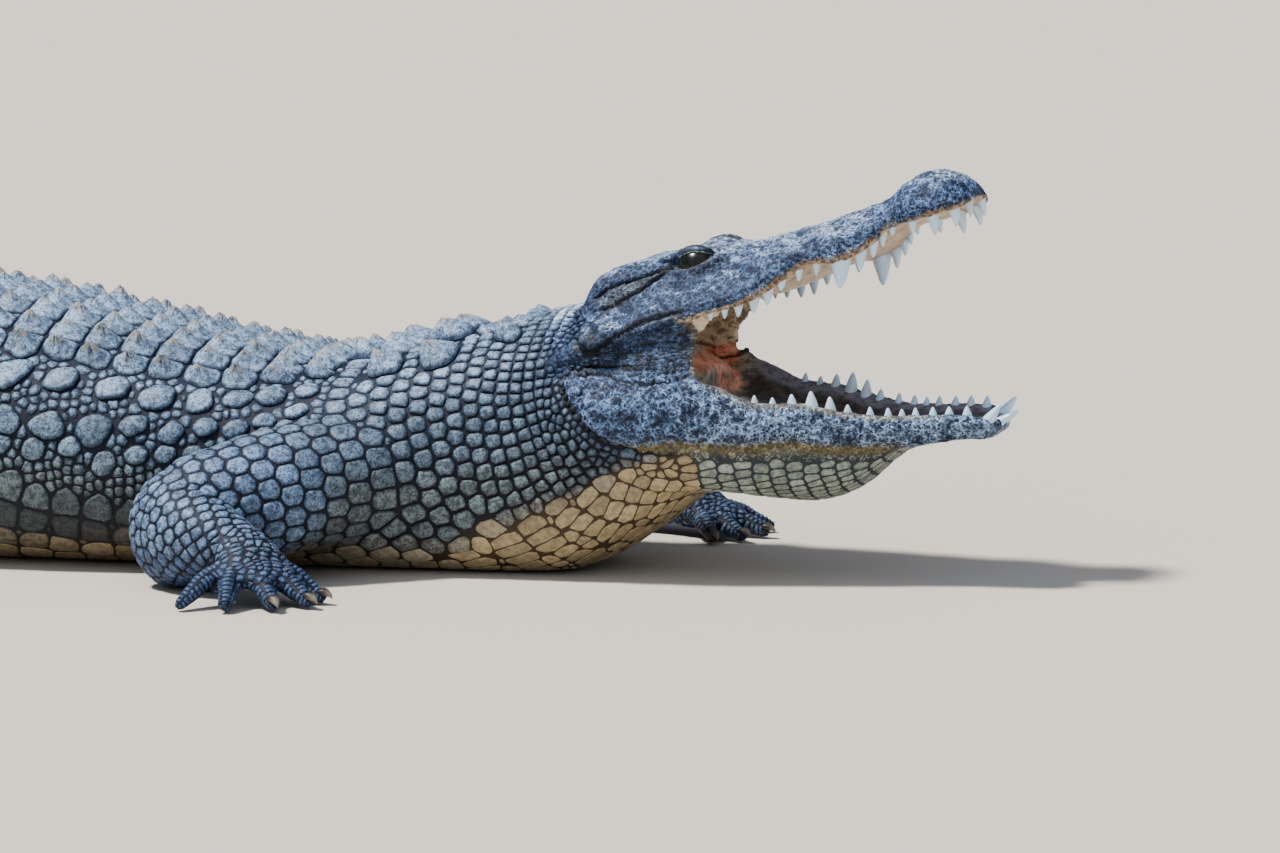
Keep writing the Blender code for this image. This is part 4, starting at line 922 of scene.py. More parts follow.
class Finish:
    """A material made node by node."""

    def __init__(self, name):
        self.material = bpy.data.materials.new(name)
        self.material.use_nodes = True
        self.nodes, self.links = self.material.node_tree.nodes, self.material.node_tree.links
        self.shader = self.nodes["Principled BSDF"]

    def put(self, socket, value):
        """A link or a plain number, colour or vector on a socket."""
        if isinstance(value, Wire):
            self.links.new(value.socket, socket)
        else:
            socket.default_value = (*value, 1.0) if socket.type == "RGBA" else value

    def add(self, kind, settings=None, inputs=None, output=0):
        """One node: its settings first, then its sockets by name or number."""
        node = self.nodes.new(kind)
        for key, value in (settings or {}).items():
            setattr(node, key, value)
        for key, value in (inputs or {}).items():
            self.put(node.inputs[key], value)
        return Wire(self, node.outputs[output])

    def mix(self, first, second, share, way="MIX"):
        """Two colours mixed by a share."""
        node = self.nodes.new("ShaderNodeMix")
        node.data_type, node.blend_type = "RGBA", way
        for k, value in ((0, share), (6, first), (7, second)):
            self.put(node.inputs[k], value)
        return Wire(self, node.outputs[2])

    def place(self):
        """The piece's own place."""
        return self.add("ShaderNodeTexCoord", output="Object")

    def part(self, vector, number):
        """One of a vector's or colour's three numbers."""
        return self.add("ShaderNodeSeparateXYZ", {}, {0: vector}, number)

    def stretched(self, vector, factors):
        """A vector with each of its numbers times a factor."""
        return self.add("ShaderNodeVectorMath", {"operation": "MULTIPLY"}, {0: vector, 1: factors})

    def noise(self, scale, detail=2.0, place=None, rough=0.5, distort=0.0):
        """Noise from 0 to 1 over the piece's own place."""
        place = place or self.place()
        return self.add("ShaderNodeTexNoise", {},
                        {"Vector": place, "Scale": scale, "Detail": detail, "Roughness": rough,
                                                   "Distortion": distort})

    def mark(self, name):
        """A value or colour kept on the mesh."""
        return self.add("ShaderNodeAttribute", {"attribute_name": name}, output="Color")

    def amount(self, name):
        """A single number kept on the mesh."""
        return self.add("ShaderNodeAttribute", {"attribute_name": name}, output="Fac")

    def end(self, **sockets):
        """The shader's own sockets."""
        for key, value in sockets.items():
            self.put(self.shader.inputs[key.replace("_", " ").title()], value)
        return self.material

    def bump(self, height, strength, distance):
        """A relief for the Normal socket."""
        return self.add("ShaderNodeBump", {},
                        {"Height": height, "Strength": strength, "Distance": distance}, "Normal")


def set_marks(made, **values):
    """Numbers or colours kept on every point of a mesh."""
    for name, value in values.items():
        value = np.asarray(value, np.float32)
        kind, key = ("FLOAT", "value") if value.ndim == 1 else ("FLOAT_COLOR", "color")
        if value.ndim == 2:
            value = np.concatenate((value, np.ones((len(value), 1), np.float32)), 1)
        made.data.attributes.new(name, kind, "POINT").data.foreach_set(key, value.ravel())


def wrinkled_net(finish):
    """The tight skin of the head: dull dark cells in a pale crumpled net, as the share of
    the pale tone and as a relief."""
    place = finish.place()
    drift = finish.add("ShaderNodeTexNoise", {}, {"Vector": place, "Scale": 110.0, "Detail": 2.0}, "Color")
    drift = finish.add("ShaderNodeVectorMath", {"operation": "SCALE"}, {0: drift, "Scale": 0.010})
    bent = finish.add("ShaderNodeVectorMath", {"operation": "ADD"}, {0: place, 1: drift})
    lines = [1.0 - finish.add("ShaderNodeTexVoronoi", {"feature": "DISTANCE_TO_EDGE"},
                              {"Vector": bent, "Scale": cells}).between(0.02, 0.17)
             for cells in (120.0, 270.0)]
    blotch = finish.noise(75.0, 4.0, rough=0.65)
    grit = finish.noise(330.0, 4.0, rough=0.7)
    pits = 1.0 - finish.noise(240.0, 2.0).between(0.34, 0.46)
    pores = finish.add("ShaderNodeTexVoronoi", {},
                       {"Vector": place, "Scale": 175.0, "Randomness": 0.8}).between(0.15, 0.27)
    ahead = finish.part(place, 0).between(1.255, 1.345)
    pores = ahead * (1.0 - pores)
    net = (0.62 * lines[0] + 0.48 * lines[1]) * blotch.between(0.30, 0.60)
    pale = 0.95 * net - 0.03 + 1.3 * (grit - 0.5) + 0.5 * (blotch - 0.5)
    pale = pale * (1.0 - 0.55 * pits) * (1.0 - 0.75 * pores)
    return pale, 0.6 * grit + 0.7 * net + 0.5 * blotch - 0.4 * pits - 0.7 * pores


# Bare hide: dark between the scales, finely wrinkled and damp inside the mouth.
hide_finish = Finish("bare_hide")
specks = hide_finish.noise(120.0, 4.0, rough=0.65).between(0.38, 0.56)
fine_grain = hide_finish.noise(900.0, 2.0)
bare = hide_finish.amount("bare")
folds = hide_finish.mark("folds")
apart = hide_finish.part(folds, 2)
strands = hide_finish.noise(9.0, 3.0, hide_finish.stretched(folds, (1.0, 1.0, 0.0)), 0.6, 0.4)
drawn_out = apart * (strands.between(0.40, 0.60) - 0.5)
taut = hide_finish.amount("taut")
net_pale, net_relief = wrinkled_net(hide_finish)
shown = bare * (0.30 + 0.70 * specks) * (1.0 - taut) + taut * net_pale
shown = (shown + 0.7 * drawn_out).most(0.0).least(1.0)
colour = hide_finish.mix(hide_finish.mark("deep"), hide_finish.mark("bright"), shown)
relief = hide_finish.noise(320.0, 4.0, rough=0.6, distort=0.6) + 0.4 * fine_grain + 1.6 * drawn_out
relief = relief + taut * net_relief
skin_paint = hide_finish.end(base_color=colour, roughness=0.62 - 0.25 * bare,
                             normal=hide_finish.bump(relief, 0.5, 0.0012))
tones, bare_share, taut_share = markings(places, normals_of(skin))
x, z = places[:, 0], places[:, 2]
drawn = cheek_share(x, z)
on_cheek = (smooth(np.abs(places[:, 1]), 0.083, 0.092) * smooth(drawn, -0.02, 0.06)
            * smooth(1.05 - drawn, 0, 0.06) * smooth(x, 0.02, 0.05) * smooth(0.150 - x, 0, 0.01))
set_marks(skin, deep=tones[:, 0], bright=tones[:, 1], bare=bare_share, taut=taut_share,
          folds=np.stack((x * 9.0, drawn * 1.6, on_cheek), -1))
skin.data.materials.append(skin_paint)

# ---------------------------------------------------------------------------- the eyes
# A wet dark-green ball with an upright slit, set under the lids; each lid ends in a pale
# rolled rim.


def sphere_points(centre, radius, axis, rings, ring):
    """A ball as rings round an axis, from its front pole to its back."""
    axis = np.array(axis, float) / np.linalg.norm(axis)
    side_way = np.cross(axis, UP)
    side_way /= np.linalg.norm(side_way)
    over = np.cross(side_way, axis)
    down = np.linspace(0.02, np.pi - 0.02, rings)[:, None]
    turn = np.linspace(0, 2 * np.pi, ring, endpoint=False)[None]
    return (np.array(centre) + radius * (np.cos(down)[..., None] * axis
            + np.sin(down)[..., None]
            * (np.cos(turn)[..., None] * side_way + np.sin(turn)[..., None] * over)))


wet = Finish("wet_eye")
gaze = wet.mark("gaze")
toward, aside = wet.part(gaze, 0), wet.part(gaze, 1)
rays = wet.noise(3.0, 3.0, wet.stretched(gaze, (0.6, 9.0, 1.5)), 0.6)
iris = wet.mix((0.002, 0.004, 0.004), (0.011, 0.016, 0.012), rays.between(0.30, 0.75))
colour = wet.mix(wet.mix((0.030, 0.026, 0.024), iris, toward.between(0.55, 0.72)), (0.001, 0.001, 0.001),
                 1.0 - aside.between(0.05, 0.12))
eye_paint = wet.end(base_color=colour, roughness=0.24 + 0.06 * rays, coat_weight=0.06)
lid_finish = Finish("lid_rim")
lid_tone = lid_finish.noise(420.0, 3.0, rough=0.6)
lid_paint = lid_finish.end(base_color=lid_finish.mix((0.030, 0.038, 0.048), (0.210, 0.235, 0.245),
                                                     lid_tone.between(0.38, 0.62)),
                           roughness=0.45 + 0.1 * lid_tone, normal=lid_finish.bump(lid_tone, 0.4, 0.0006))
for side_sign, label in ((-1.0, "right"), (1.0, "left")):
    centre = skull_point(EYE_SET[0], side_sign * EYE_SET[1], EYE_SET[2])
    look = skull_point(0.35, side_sign * 1.0, 0.32) - skull_point(0.0, 0.0, 0.0)
    eye = outward(mesh_object("eyeball_" + label,
                              *closed_tube(sphere_points(centre, EYE_SIZE, look, 40, 48))))
    eye.data.shade_smooth()
    at_eye = points_of(eye) - centre
    look = look / np.linalg.norm(look)
    set_marks(eye, gaze=np.stack((at_eye @ look, np.abs(at_eye @ unit(np.cross(look, UP))), at_eye[:, 2]),
                                 -1) / EYE_SIZE)
    eye.data.materials.append(eye_paint)
    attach(eye, "root")
    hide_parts("eye_" + label)
    share = np.linspace(0, 1, 60, endpoint=False)
    along = LIDS[0][0] + (LIDS[-1][0] - LIDS[0][0]) * (0.5 - 0.5 * np.cos(share * 2 * np.pi))
    upper, lower = lid_edges(along)
    high = np.where(share < 0.5, upper, lower)
    flat = np.stack((along, np.zeros(60), high), -1) - EYE_SET
    out = np.sqrt(np.maximum(EYE_SIZE ** 2 - flat[:, 0] ** 2 - flat[:, 2] ** 2, 1e-6))
    rim = np.stack((flat[:, 0], out, flat[:, 2]), -1) * (1 + 0.0006 / EYE_SIZE)
    outer = rim / np.linalg.norm(rim, axis=1)[:, None]
    run = np.roll(rim, -1, 0) - np.roll(rim, 1, 0)
    run /= np.linalg.norm(run, axis=1)[:, None]
    cross = np.cross(run, outer)
    turn = np.linspace(0, 2 * np.pi, 8, endpoint=False)[None, :, None]
    thick = 0.0009
    bead = rim[:, None] + thick * (np.cos(turn) * cross[:, None] + np.sin(turn) * outer[:, None])
    bead = bead + EYE_SET
    bead = skull_point(bead[..., 0], bead[..., 1] * side_sign, bead[..., 2])
    row, col = np.meshgrid(np.arange(60), np.arange(8), indexing="ij")
    across, next_row = (col + 1) % 8, (row + 1) % 60 * 8
    quads = np.stack((row * 8 + col, row * 8 + across, next_row + across, next_row + col), -1)
    lid_rim = outward(mesh_object("lid_rim_" + label, bead.reshape(-1, 3), quads.reshape(-1, 4).tolist()))
    lid_rim.data.shade_smooth()
    lid_rim.data.materials.append(lid_paint)
    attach(lid_rim, "root")

# --------------------------------------------------------------------------- the teeth
# Ivory pegs set in the jaws' edges, slightly hooked and ridged, each in a low collar of gum.


def tooth_points(root, tip, hook, radius, rings=9, ring=10):
    """A peg whose radius falls as the square root of what is left, bent towards hook."""
    share = np.concatenate((np.linspace(-0.25, 0.85, rings - 3), (0.93, 0.98, 1.0)))[:, None]
    axis = tip - root
    side_way = np.cross(axis, UP + 0.01)
    side_way /= np.linalg.norm(side_way)
    over = np.cross(side_way, axis)
    over /= np.linalg.norm(over)
    turn = np.linspace(0, 2 * np.pi, ring, endpoint=False)[None]
    left = np.clip(1 - share, 0.0004, 1.25)
    thick = 1.16 * radius * left ** 0.52 * (1 + 0.08 * hill(share - 0.25, 0.3))
    centre = root + share * axis + hook * (share ** 2)
    return (centre[:, None] + (thick * np.cos(turn))[..., None] * side_way
            + (thick * np.sin(turn) * 0.86)[..., None] * over)


TOOTH_ROOT = 0.004            # how deep a tooth is set, above what stands out


def tooth(gum, lean, length, radius):
    """A tooth from its gum along its lean, bent a little backwards."""
    return tooth_points(gum, gum + lean * (length + TOOTH_ROOT), np.array((-0.08, 0, 0)) * length, radius)


tooth_rings = []
for side_sign in (-1.0, 1.0):
    for along, length, radius in UPPER_TEETH:
        row = curve(SKULL, along)[0]
        inset = 0.007 + 0.004 * smooth(along, 0.40, 0.416)
        gum = skull_point(along, side_sign * (row[7] - inset), row[8] + TOOTH_ROOT)
        forward = np.interp(along, (0.30, 0.40), (-0.30, -0.12))
        lean = skull_point(forward, side_sign * 0.12, -0.96) - skull_point(0.0, 0.0, 0.0)
        tooth_rings.append(tooth(gum, lean, length, radius))
    for along, length, radius in LOWER_TEETH:
        row = curve(JAW, along)[0]
        gum = np.array((along, side_sign * (row[5] - 0.006), row[6] - TOOTH_ROOT))
        forward = 0.1 + 1.5 * max(0.0, (along - 0.409) / 0.0265) ** 2
        tooth_rings.append(tooth(gum, unit(np.array((forward, side_sign * 0.25, 1.0))), length, radius))
teeth = outward(mesh_object("teeth", *joined_tubes(tooth_rings)))
teeth.data.shade_smooth()
ivory = Finish("ivory")
crack = ivory.noise(180.0, 4.0, ivory.stretched(ivory.place(), (1.0, 1.0, 0.25)), 0.6)
stain = ivory.noise(45.0, 2.0).between(0.50, 0.72)
colour = ivory.mix(ivory.mix((0.55, 0.77, 0.98), (0.72, 0.88, 1.00), crack), (0.58, 0.50, 0.36), 0.35 * stain)
teeth.data.materials.append(ivory.end(base_color=colour, roughness=0.22 + 0.15 * crack,
                                      normal=ivory.bump(crack, 0.25, 0.0005)))
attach(teeth, "root")

# ------------------------------------------------------------------------- the claws
# The inner three toes of each paw end in a short arched claw of dark horn worn pale.
horn_sheath = Finish("claw_horn")
growth = horn_sheath.noise(60.0, 4.0, rough=0.65)
lines = horn_sheath.noise(700.0, 2.0)
worn_off = (horn_sheath.amount("worn") + 0.5 * (growth - 0.5)).between(0.10, 0.75)
colour = horn_sheath.mix((0.030, 0.026, 0.024), (0.300, 0.275, 0.240), worn_off * (0.55 + 0.45 * lines))
claw_paint = horn_sheath.end(base_color=colour, roughness=0.38 + 0.2 * growth,
                             normal=horn_sheath.bump(growth + 0.4 * lines, 0.35, 0.0008))
for name, _, (heading, knuckle_height, digits) in LIMBS:
    claw_rings, claw_worn = [], []
    for paw, k, digit, along in digit_places:
        if paw != name or k >= CLAWED_DIGITS:
            continue
        thick = digit[-1][3]
        tip = np.array(digit[-1][:3])
        root = tip + along * thick * 0.35 + UP * thick * 0.30
        reach = (0.006 if name.startswith("hand") else 0.018) + thick
        end = tip + along * reach
        end[2] = 0.0022
        made = tooth_points(root, end, UP * 0.0040, thick * 0.62, 12, 14)
        share = np.linspace(0, 1, len(made))[:, None] + 0.0 * made[..., 0]
        made = made + UP * (0.0045 * np.sin(np.clip(share, 0, 1) * np.pi))[..., None]
        made[..., 2] = np.maximum(made[..., 2], 0.0012)
        claw_rings.append(made)
        claw_worn.append(np.append(share, (0.5, 0.5)))
    claws = mesh_object("claws_" + name, *joined_tubes(claw_rings))
    set_marks(claws, worn=np.concatenate(claw_worn))
    outward(claws).data.shade_smooth()
    claws.data.materials.append(claw_paint)
    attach(claws, "root")
    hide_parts(*["claw_%d_%s" % (k + 1, name) for k in range(CLAWED_DIGITS)])

# ------------------------------------------------------------------------- the scales
# Horny scales side by side over the whole hide, never overlapping: each is a low dome
# whose outline stops halfway to its neighbours, rooted a little way into the skin.
hide = BVHTree.FromObject(skin, bpy.context.evaluated_depsgraph_get())
corners = np.empty(len(skin.data.polygons) * 3, int)
skin.data.polygons.foreach_get("vertices", corners)
corners = corners.reshape(-1, 3)
skin_normals = normals_of(skin)
chance = np.random.default_rng(7)
planted = []
FAR_ENOUGH = 0.0075           # a scale whose place is deeper in the flesh than this isn't made


def on_skin(points):
    """Nearest place on the hide, its smooth normal and how far off it was."""
    found = [hide.find_nearest(point) for point in (np.asarray(points) + HOME).tolist()]
    spots = np.array([hit[0] for hit in found]) - HOME
    faces = np.array([hit[2] for hit in found])
    normal = skin_normals[corners[faces]].mean(1)
    normal /= np.linalg.norm(normal, axis=1)[:, None]
    return spots, normal, np.array([hit[3] for hit in found])


def tree_of(points):
    """A tree in which the nearest of many points are looked up."""
    tree = KDTree(len(points))
    for k, point in enumerate(points.tolist()):
        tree.insert(point, k)
    tree.balance()
    return tree


def plant(group, points, lie, long, wide, tall, keel, place, shy=0.80, reach=FAR_ENOUGH, fit=1.7, gap=0.020,
          grow=True):
    """Root scales of one group where grow is true: dropped where there is no hide, or where
    those planted before stand closer than shy of the two sizes together. fit is how far past
    its own oval a scale may spread to fill its corner, gap half the groove, of its size."""
    spots, normal, off = on_skin(points)
    lot = dict(zip(("long", "wide", "tall", "keel", "fit", "gap"),
                   (np.broadcast_to(np.asarray(v, float), (len(spots),))
                    for v in (long, wide, tall, keel, fit, gap))))
    keep = (off < reach) & grow
    if planted and shy:
        others, other_lie, other_long, other_wide = (np.concatenate([p[key] for p in planted])
                                                     for key in ("at", "lie", "long", "wide"))
        tree = tree_of(others)
        near = np.array([[hit[1] for hit in tree.find_n(spot, 7)] for spot in spots.tolist()])
        away = spots[:, None] - others[near]
        ahead = (away * other_lie[near]).sum(-1)
        apart = np.linalg.norm(away, axis=-1)
        beside = np.sqrt(np.maximum(apart ** 2 - ahead ** 2, 1e-12))
        reach_out = apart * 0.5 / np.sqrt((ahead / other_long[near]) ** 2 + (beside / other_wide[near]) ** 2
                                          + 1e-12)
        keep &= (apart > shy * (reach_out + ((lot["long"] + lot["wide"]) / 4)[:, None])).all(1)
    lot.update(at=spots, normal=normal, lie=unit(lie - normal * (lie * normal).sum(1)[:, None]),
               place=np.broadcast_to(place, (len(spots), 2)))
    planted.append({"group": group, **{key: value[keep] for key, value in lot.items()}})


def spread(path, start, spacing, stagger=0.0):
    """Places along each of many paths (paths x samples x 3), spaced as asked: returns the
    row and the sample number as a fraction."""
    gap = np.linalg.norm(np.diff(path, axis=1), axis=2)
    between = (spacing[:, 1:] + spacing[:, :-1]) / 2
    number = np.concatenate((np.zeros((len(path), 1)), np.cumsum(gap / between, 1)), 1)
    rows, samples = [], []
    for k, counted in enumerate(number):
        wanted = np.arange(start + (stagger if k % 2 else 0.0), counted[-1] - 0.01, 1.0)
        samples.append(np.interp(wanted, counted, np.arange(path.shape[1])))
        rows.append(np.full(len(wanted), k))
    return np.concatenate(rows), np.concatenate(samples)


def paced(start, end, pace):
    """Steps from start to end whose spacing is read from a (place, spacing) table."""
    steps = [start]
    while steps[-1] < end:
        steps.append(steps[-1] + float(curve(pace, steps[-1])[0, 0]))
    return np.array(steps)


ROUND = 160                   # samples from the middle of the back to the middle of the belly
half_turn = np.linspace(np.pi / 2, -np.pi / 2, ROUND)
down = np.linspace(0, 1, ROUND)


def body_map(step, aside):
    """A scale's place on the map: along the spine, and from the right side to the left."""
    return np.stack(((step + 0.14) / 2.75, 0.5 + aside), 1)


def body_ahead(step, turn):
    """The way forward over the body's surface."""
    return unit(body_surface(step + 0.004, turn) - body_surface(step - 0.004, turn))


def body_scales(group, steps, spacing, slant=0.0, tall=0.0012, keel=0.0, stagger=0.0, allow=None, shy=0.80,
                jitter=0.06, reach=FAR_ENOUGH, fit=1.7, gap=0.02, vary=0.0):
    """Rows of scales down both sides of the body. spacing(step, arc) is the width of each;
    slant carries the lower end of a row forward; allow says where they grow."""
    slant = np.broadcast_to(slant, steps.shape)
    path_steps = steps[:, None] - slant[:, None] * smooth(down, 0.30, 0.95)[None]
    path = body_surface(path_steps, half_turn[None])
    arc = run_along(path)
    wide = spacing(path_steps, arc)
    rows, samples = spread(path, 0.5, wide, stagger)
    share, whole, count = samples / (ROUND - 1), samples.astype(int), len(rows)
    arcs, widths, pitch = (v[rows, whole] for v in (arc, wide, np.gradient(path_steps, axis=0)))
    at_step = steps[rows] - slant[rows] * smooth(share, 0.30, 0.95)
    for side in (1.0, -1.0):
        step = at_step + chance.uniform(-jitter, jitter, count) * pitch
        angle = np.pi / 2 - share * np.pi + chance.uniform(-jitter, jitter, count) * widths / 0.2
        turn = angle if side > 0 else np.pi - angle
        size = chance.uniform(1 - vary, 1 + vary, count)
        deep, far, groove = (v(step, arcs) if callable(v) else v for v in (tall, reach, gap))
        plant(group, body_surface(step, turn), body_ahead(step, turn), pitch * size, widths * size, deep,
              keel,
              body_map(step, side * share * 0.48), shy, far, fit, groove,
              True if allow is None else allow(step, arcs, share))


# The back's armour: a few big plates on the nape, four small ones behind the skull, then
# the shield of keeled plates in straight rows, eight across where the trunk is widest.
SCUTE_PITCH = 0.0385
SHIELD = ((0.27, 0.55), (0.36, 0.85), (0.48, 1.0), (0.85, 1.0), (1.06, 0.66), (1.30, 0.50), (1.80, 0.34),
          (TAIL_TIP, 0.2))
COLUMNS = (0.021, 0.062, 0.101, 0.137)       # of each side, from the middle line
COLUMN_WIDTH = (0.041, 0.040, 0.037, 0.035)
SHIELD_EDGE = 0.156
NAPE = ((0.150, 0.027, 0.054, 0.050), (0.152, 0.078, 0.054, 0.046), (0.205, 0.028, 0.054, 0.052),
        (0.208, 0.080, 0.044, 0.040), (0.249, 0.022, 0.034, 0.038), (0.076, 0.022, 0.030, 0.034),
        (0.080, 0.060, 0.032, 0.032), (0.112, 0.040, 0.020, 0.020))


def arc_to_angle(steps, arcs):
    """The angle round the body at a distance down from the middle of the back."""
    path = body_surface(np.asarray(steps)[:, None], half_turn[None])
    return np.array([np.interp(a, run, half_turn) for a, run in zip(arcs, run_along(path))])


def plates(group, steps, arcs, long, wide, tall, keel, tilt=0.0, fit=1.5, reach=0.012, shy=0.5):
    """Single plates at given steps and arcs on both sides, turned by tilt down the side."""
    angle = arc_to_angle(steps, arcs)
    for side in (1.0, -1.0):
        turn = angle if side > 0 else np.pi - angle
        below = body_surface(steps, turn - side * 0.03) - body_surface(steps, turn + side * 0.03)
        plant(group, body_surface(steps, turn), body_ahead(steps, turn) + tilt * unit(below), long, wide,
              tall, keel,
              body_map(steps, side * arcs), shy, reach, fit, 0.015)


nape = np.array(NAPE)
plates("back", nape[:, 0], nape[:, 1], nape[:, 2], nape[:, 3], np.where(nape[:, 2] > 0.03, 0.0110, 0.0050),
       np.where(nape[:, 2] > 0.03, 0.0120, 0.0060), reach=0.016)
row_steps = np.arange(0.285, 1.075, SCUTE_PITCH)
across_scale = curve(SHIELD, row_steps)[:, 0]
row, column = (v.ravel() for v in np.meshgrid(np.arange(len(row_steps)), np.arange(4), indexing="ij"))
swing = chance.uniform(-0.0015, 0.0015, len(row))
column_keel = np.array((0.0115, 0.0135, 0.0150, 0.0145))[column] * chance.uniform(0.8, 1.15, len(row))
plates("back", row_steps[row] + swing, np.array(COLUMNS)[column] * across_scale[row], SCUTE_PITCH,
       np.array(COLUMN_WIDTH)[column] * across_scale[row], 0.0050, column_keel)

# Flanks: three rows of big ovals, smaller downwards, their front ends raised, with small
# round grains filling the skin between them.
# distance below the shield, spacing, length, width and height at mid trunk
OVAL_ROWS = ((0.025, 0.0560, 0.060, 0.036, 0.0075), (0.068, 0.0470, 0.048, 0.033, 0.0064),
             (0.102, 0.0370, 0.034, 0.026, 0.0050))
OVAL_GROWTH = ((0.26, 0.58), (0.36, 0.68), (0.46, 0.92), (0.56, 1.06), (0.95, 1.0), (1.10, 0.75))
for below_shield, pace, long, wide, tall in OVAL_ROWS:
    oval_steps = paced(0.285 + below_shield / 8, 1.04, [(s, g * pace) for s, g in OVAL_GROWTH])
    size = chance.uniform(0.84, 1.10, len(oval_steps)) * curve(OVAL_GROWTH, oval_steps)[:, 0]
    arcs = curve(SHIELD, oval_steps)[:, 0] * SHIELD_EDGE + below_shield * (0.25 + 0.75 * size)
    arcs = arcs + chance.uniform(-0.003, 0.003, len(oval_steps))
    plates("flank", oval_steps, arcs, long * size, wide * size, tall, 0.0, 0.60, 1.10, 0.012, 0.60)

# Lower flank, chest and belly: squares in regular rows, flat below. On the neck the rows
# lean forward under the jaw and the squares shrink to grains behind the head.
NECK_PITCH = ((-0.05, 0.0110), (0.02, 0.0128), (0.06, 0.0155), (0.10, 0.0180), (0.20, 0.0225),
              (0.30, 0.0270), (1.10, 0.0275))
LEAN = ((-0.05, 0.165), (0.02, 0.138), (0.10, 0.096), (0.20, 0.048), (0.31, 0.0), (1.2, 0.0))
square_steps = paced(-0.02, 1.06, NECK_PITCH)


def square_width(step, arc):
    """As wide as the rows are apart, smaller high on the neck."""
    pace = curve(NECK_PITCH, np.clip(step, -0.05, 1.1))[..., 0]
    return pace * (0.72 + 0.34 * smooth(arc, 0.08, 0.26))


def shield_edge(step):
    """How far down the side the back's shield of plates reaches."""
    return curve(SHIELD, step)[:, 0] * SHIELD_EDGE


def on_squares(step, arc, share):
    """Below the flank's ovals, and the whole neck outside the nape's plates."""
    past = np.where(step > 0.33, 0.120, 0.008)
    return (arc > shield_edge(step) + past) | ((step <= 0.26) & (arc > 0))


def square_height(step, arc):
    """Beads on the neck, cushions on the flank, flat tiles under the belly."""
    return 0.0042 - 0.0006 * smooth(step, 0.1, 0.3) - 0.0024 * smooth(arc, 0.27, 0.36)


CHEST_ARC = 0.185             # down the side from the middle of the back the bands start
chest_steps = square_steps[square_steps < 0.24][::2]
body_scales("belly", chest_steps, lambda s, a: 0.0165 + 0 * a, slant=curve(LEAN, chest_steps)[:, 0],
            allow=lambda s, a,
            q: (a > CHEST_ARC) & (cream_share(body_surface(s, np.pi / 2 - q * np.pi)) > 0.5),
            tall=0.0011, jitter=0.04, fit=2.2, gap=0.010, shy=0, reach=0.012)
body_scales("belly", square_steps, square_width, slant=curve(LEAN, square_steps)[:, 0],
            tall=square_height, allow=on_squares, jitter=0.10, fit=1.5,
            gap=lambda step, arc: 0.032 - 0.016 * smooth(arc, 0.26, 0.36),
            reach=lambda step, arc: 0.035 - 0.0275 * smooth(step, 0.10, 0.16))
grain_steps = np.arange(0.27, 1.06, 0.0105)
body_scales("flank", grain_steps, lambda s, a: 0.0105 + 0 * a, tall=0.0020, stagger=0.5,
            allow=lambda s, a, q: (a > shield_edge(s) - 0.004) & (a < 0.30),
            jitter=0.22, fit=1.8, gap=0.015, vary=0.2)

# Tail: every ring of the tail bears upright fins above, keeled plates between them and
# two rows of oblong scales down the sides.
WHORL_PITCH = 0.042
TAIL_START = 1.06
tail_rows = np.arange(TAIL_START + 0.010, TAIL_TIP - 0.05, WHORL_PITCH / 2)


def tail_width(step, arc):
    """Oblongs get narrower as the tail does."""
    return np.clip(curve(BODY, step)[..., 1] * 0.26, 0.011, 0.027)


body_scales("tail", tail_rows, tail_width, tall=0.0017, keel=0.0012, jitter=0.05)


def limb_scales(group, stations, pace, width, tall, corner, inset=SCALE_DEPTH, floor=SCALE_DEPTH, start=-0.18,
                end=1.18, jitter=0.08, shy=0.80, first=0.25, stagger=0.5, number=None):
    """Rings of scales round one length of a limb; pace and width are spacings in metres."""
    fine_steps = np.linspace(start, end, 200)
    run = run_along(tube_surface(stations, fine_steps, np.full(200, np.pi / 2), inset, floor))
    places = [run[0]]
    while places[-1] < run[-1]:
        places.append(places[-1] + float(np.interp(places[-1] / run[-1], (0, 1), pace)))
    steps = np.interp(places, run, fine_steps)
    turns = np.linspace(0, 2 * np.pi, 121)
    path = tube_surface(stations, steps[:, None], turns[None], inset, floor)
    share = np.clip(np.array(places) / run[-1], 0, 1)
    girth = np.linalg.norm(np.diff(path, axis=1), axis=2).sum(1)
    even = girth / (number or np.maximum(np.round(girth / np.interp(share, (0, 1), width)), 3))
    rows, samples = spread(path, first, np.broadcast_to(even[:, None], path.shape[:2]), stagger)
    pitch, count = np.interp(share, (0, 1), pace)[rows], len(rows)
    along = steps[rows] + chance.uniform(-jitter, jitter, count) * pitch / run[-1]
    around = samples / 120 * 2 * np.pi + chance.uniform(-jitter, jitter, count) * even[rows] / 0.05
    points, before, behind = (tube_surface(stations, along + by, around, inset, floor)
                              for by in (0.0, 0.02, -0.02))
    where = np.stack((corner[0] + 0.46 * share[rows], corner[1] + 0.46 * around / (2 * np.pi)), 1)
    plant(group, points, before - behind, pitch, even[rows], tall, 0.0, where, shy, fit=1.8, gap=0.018)


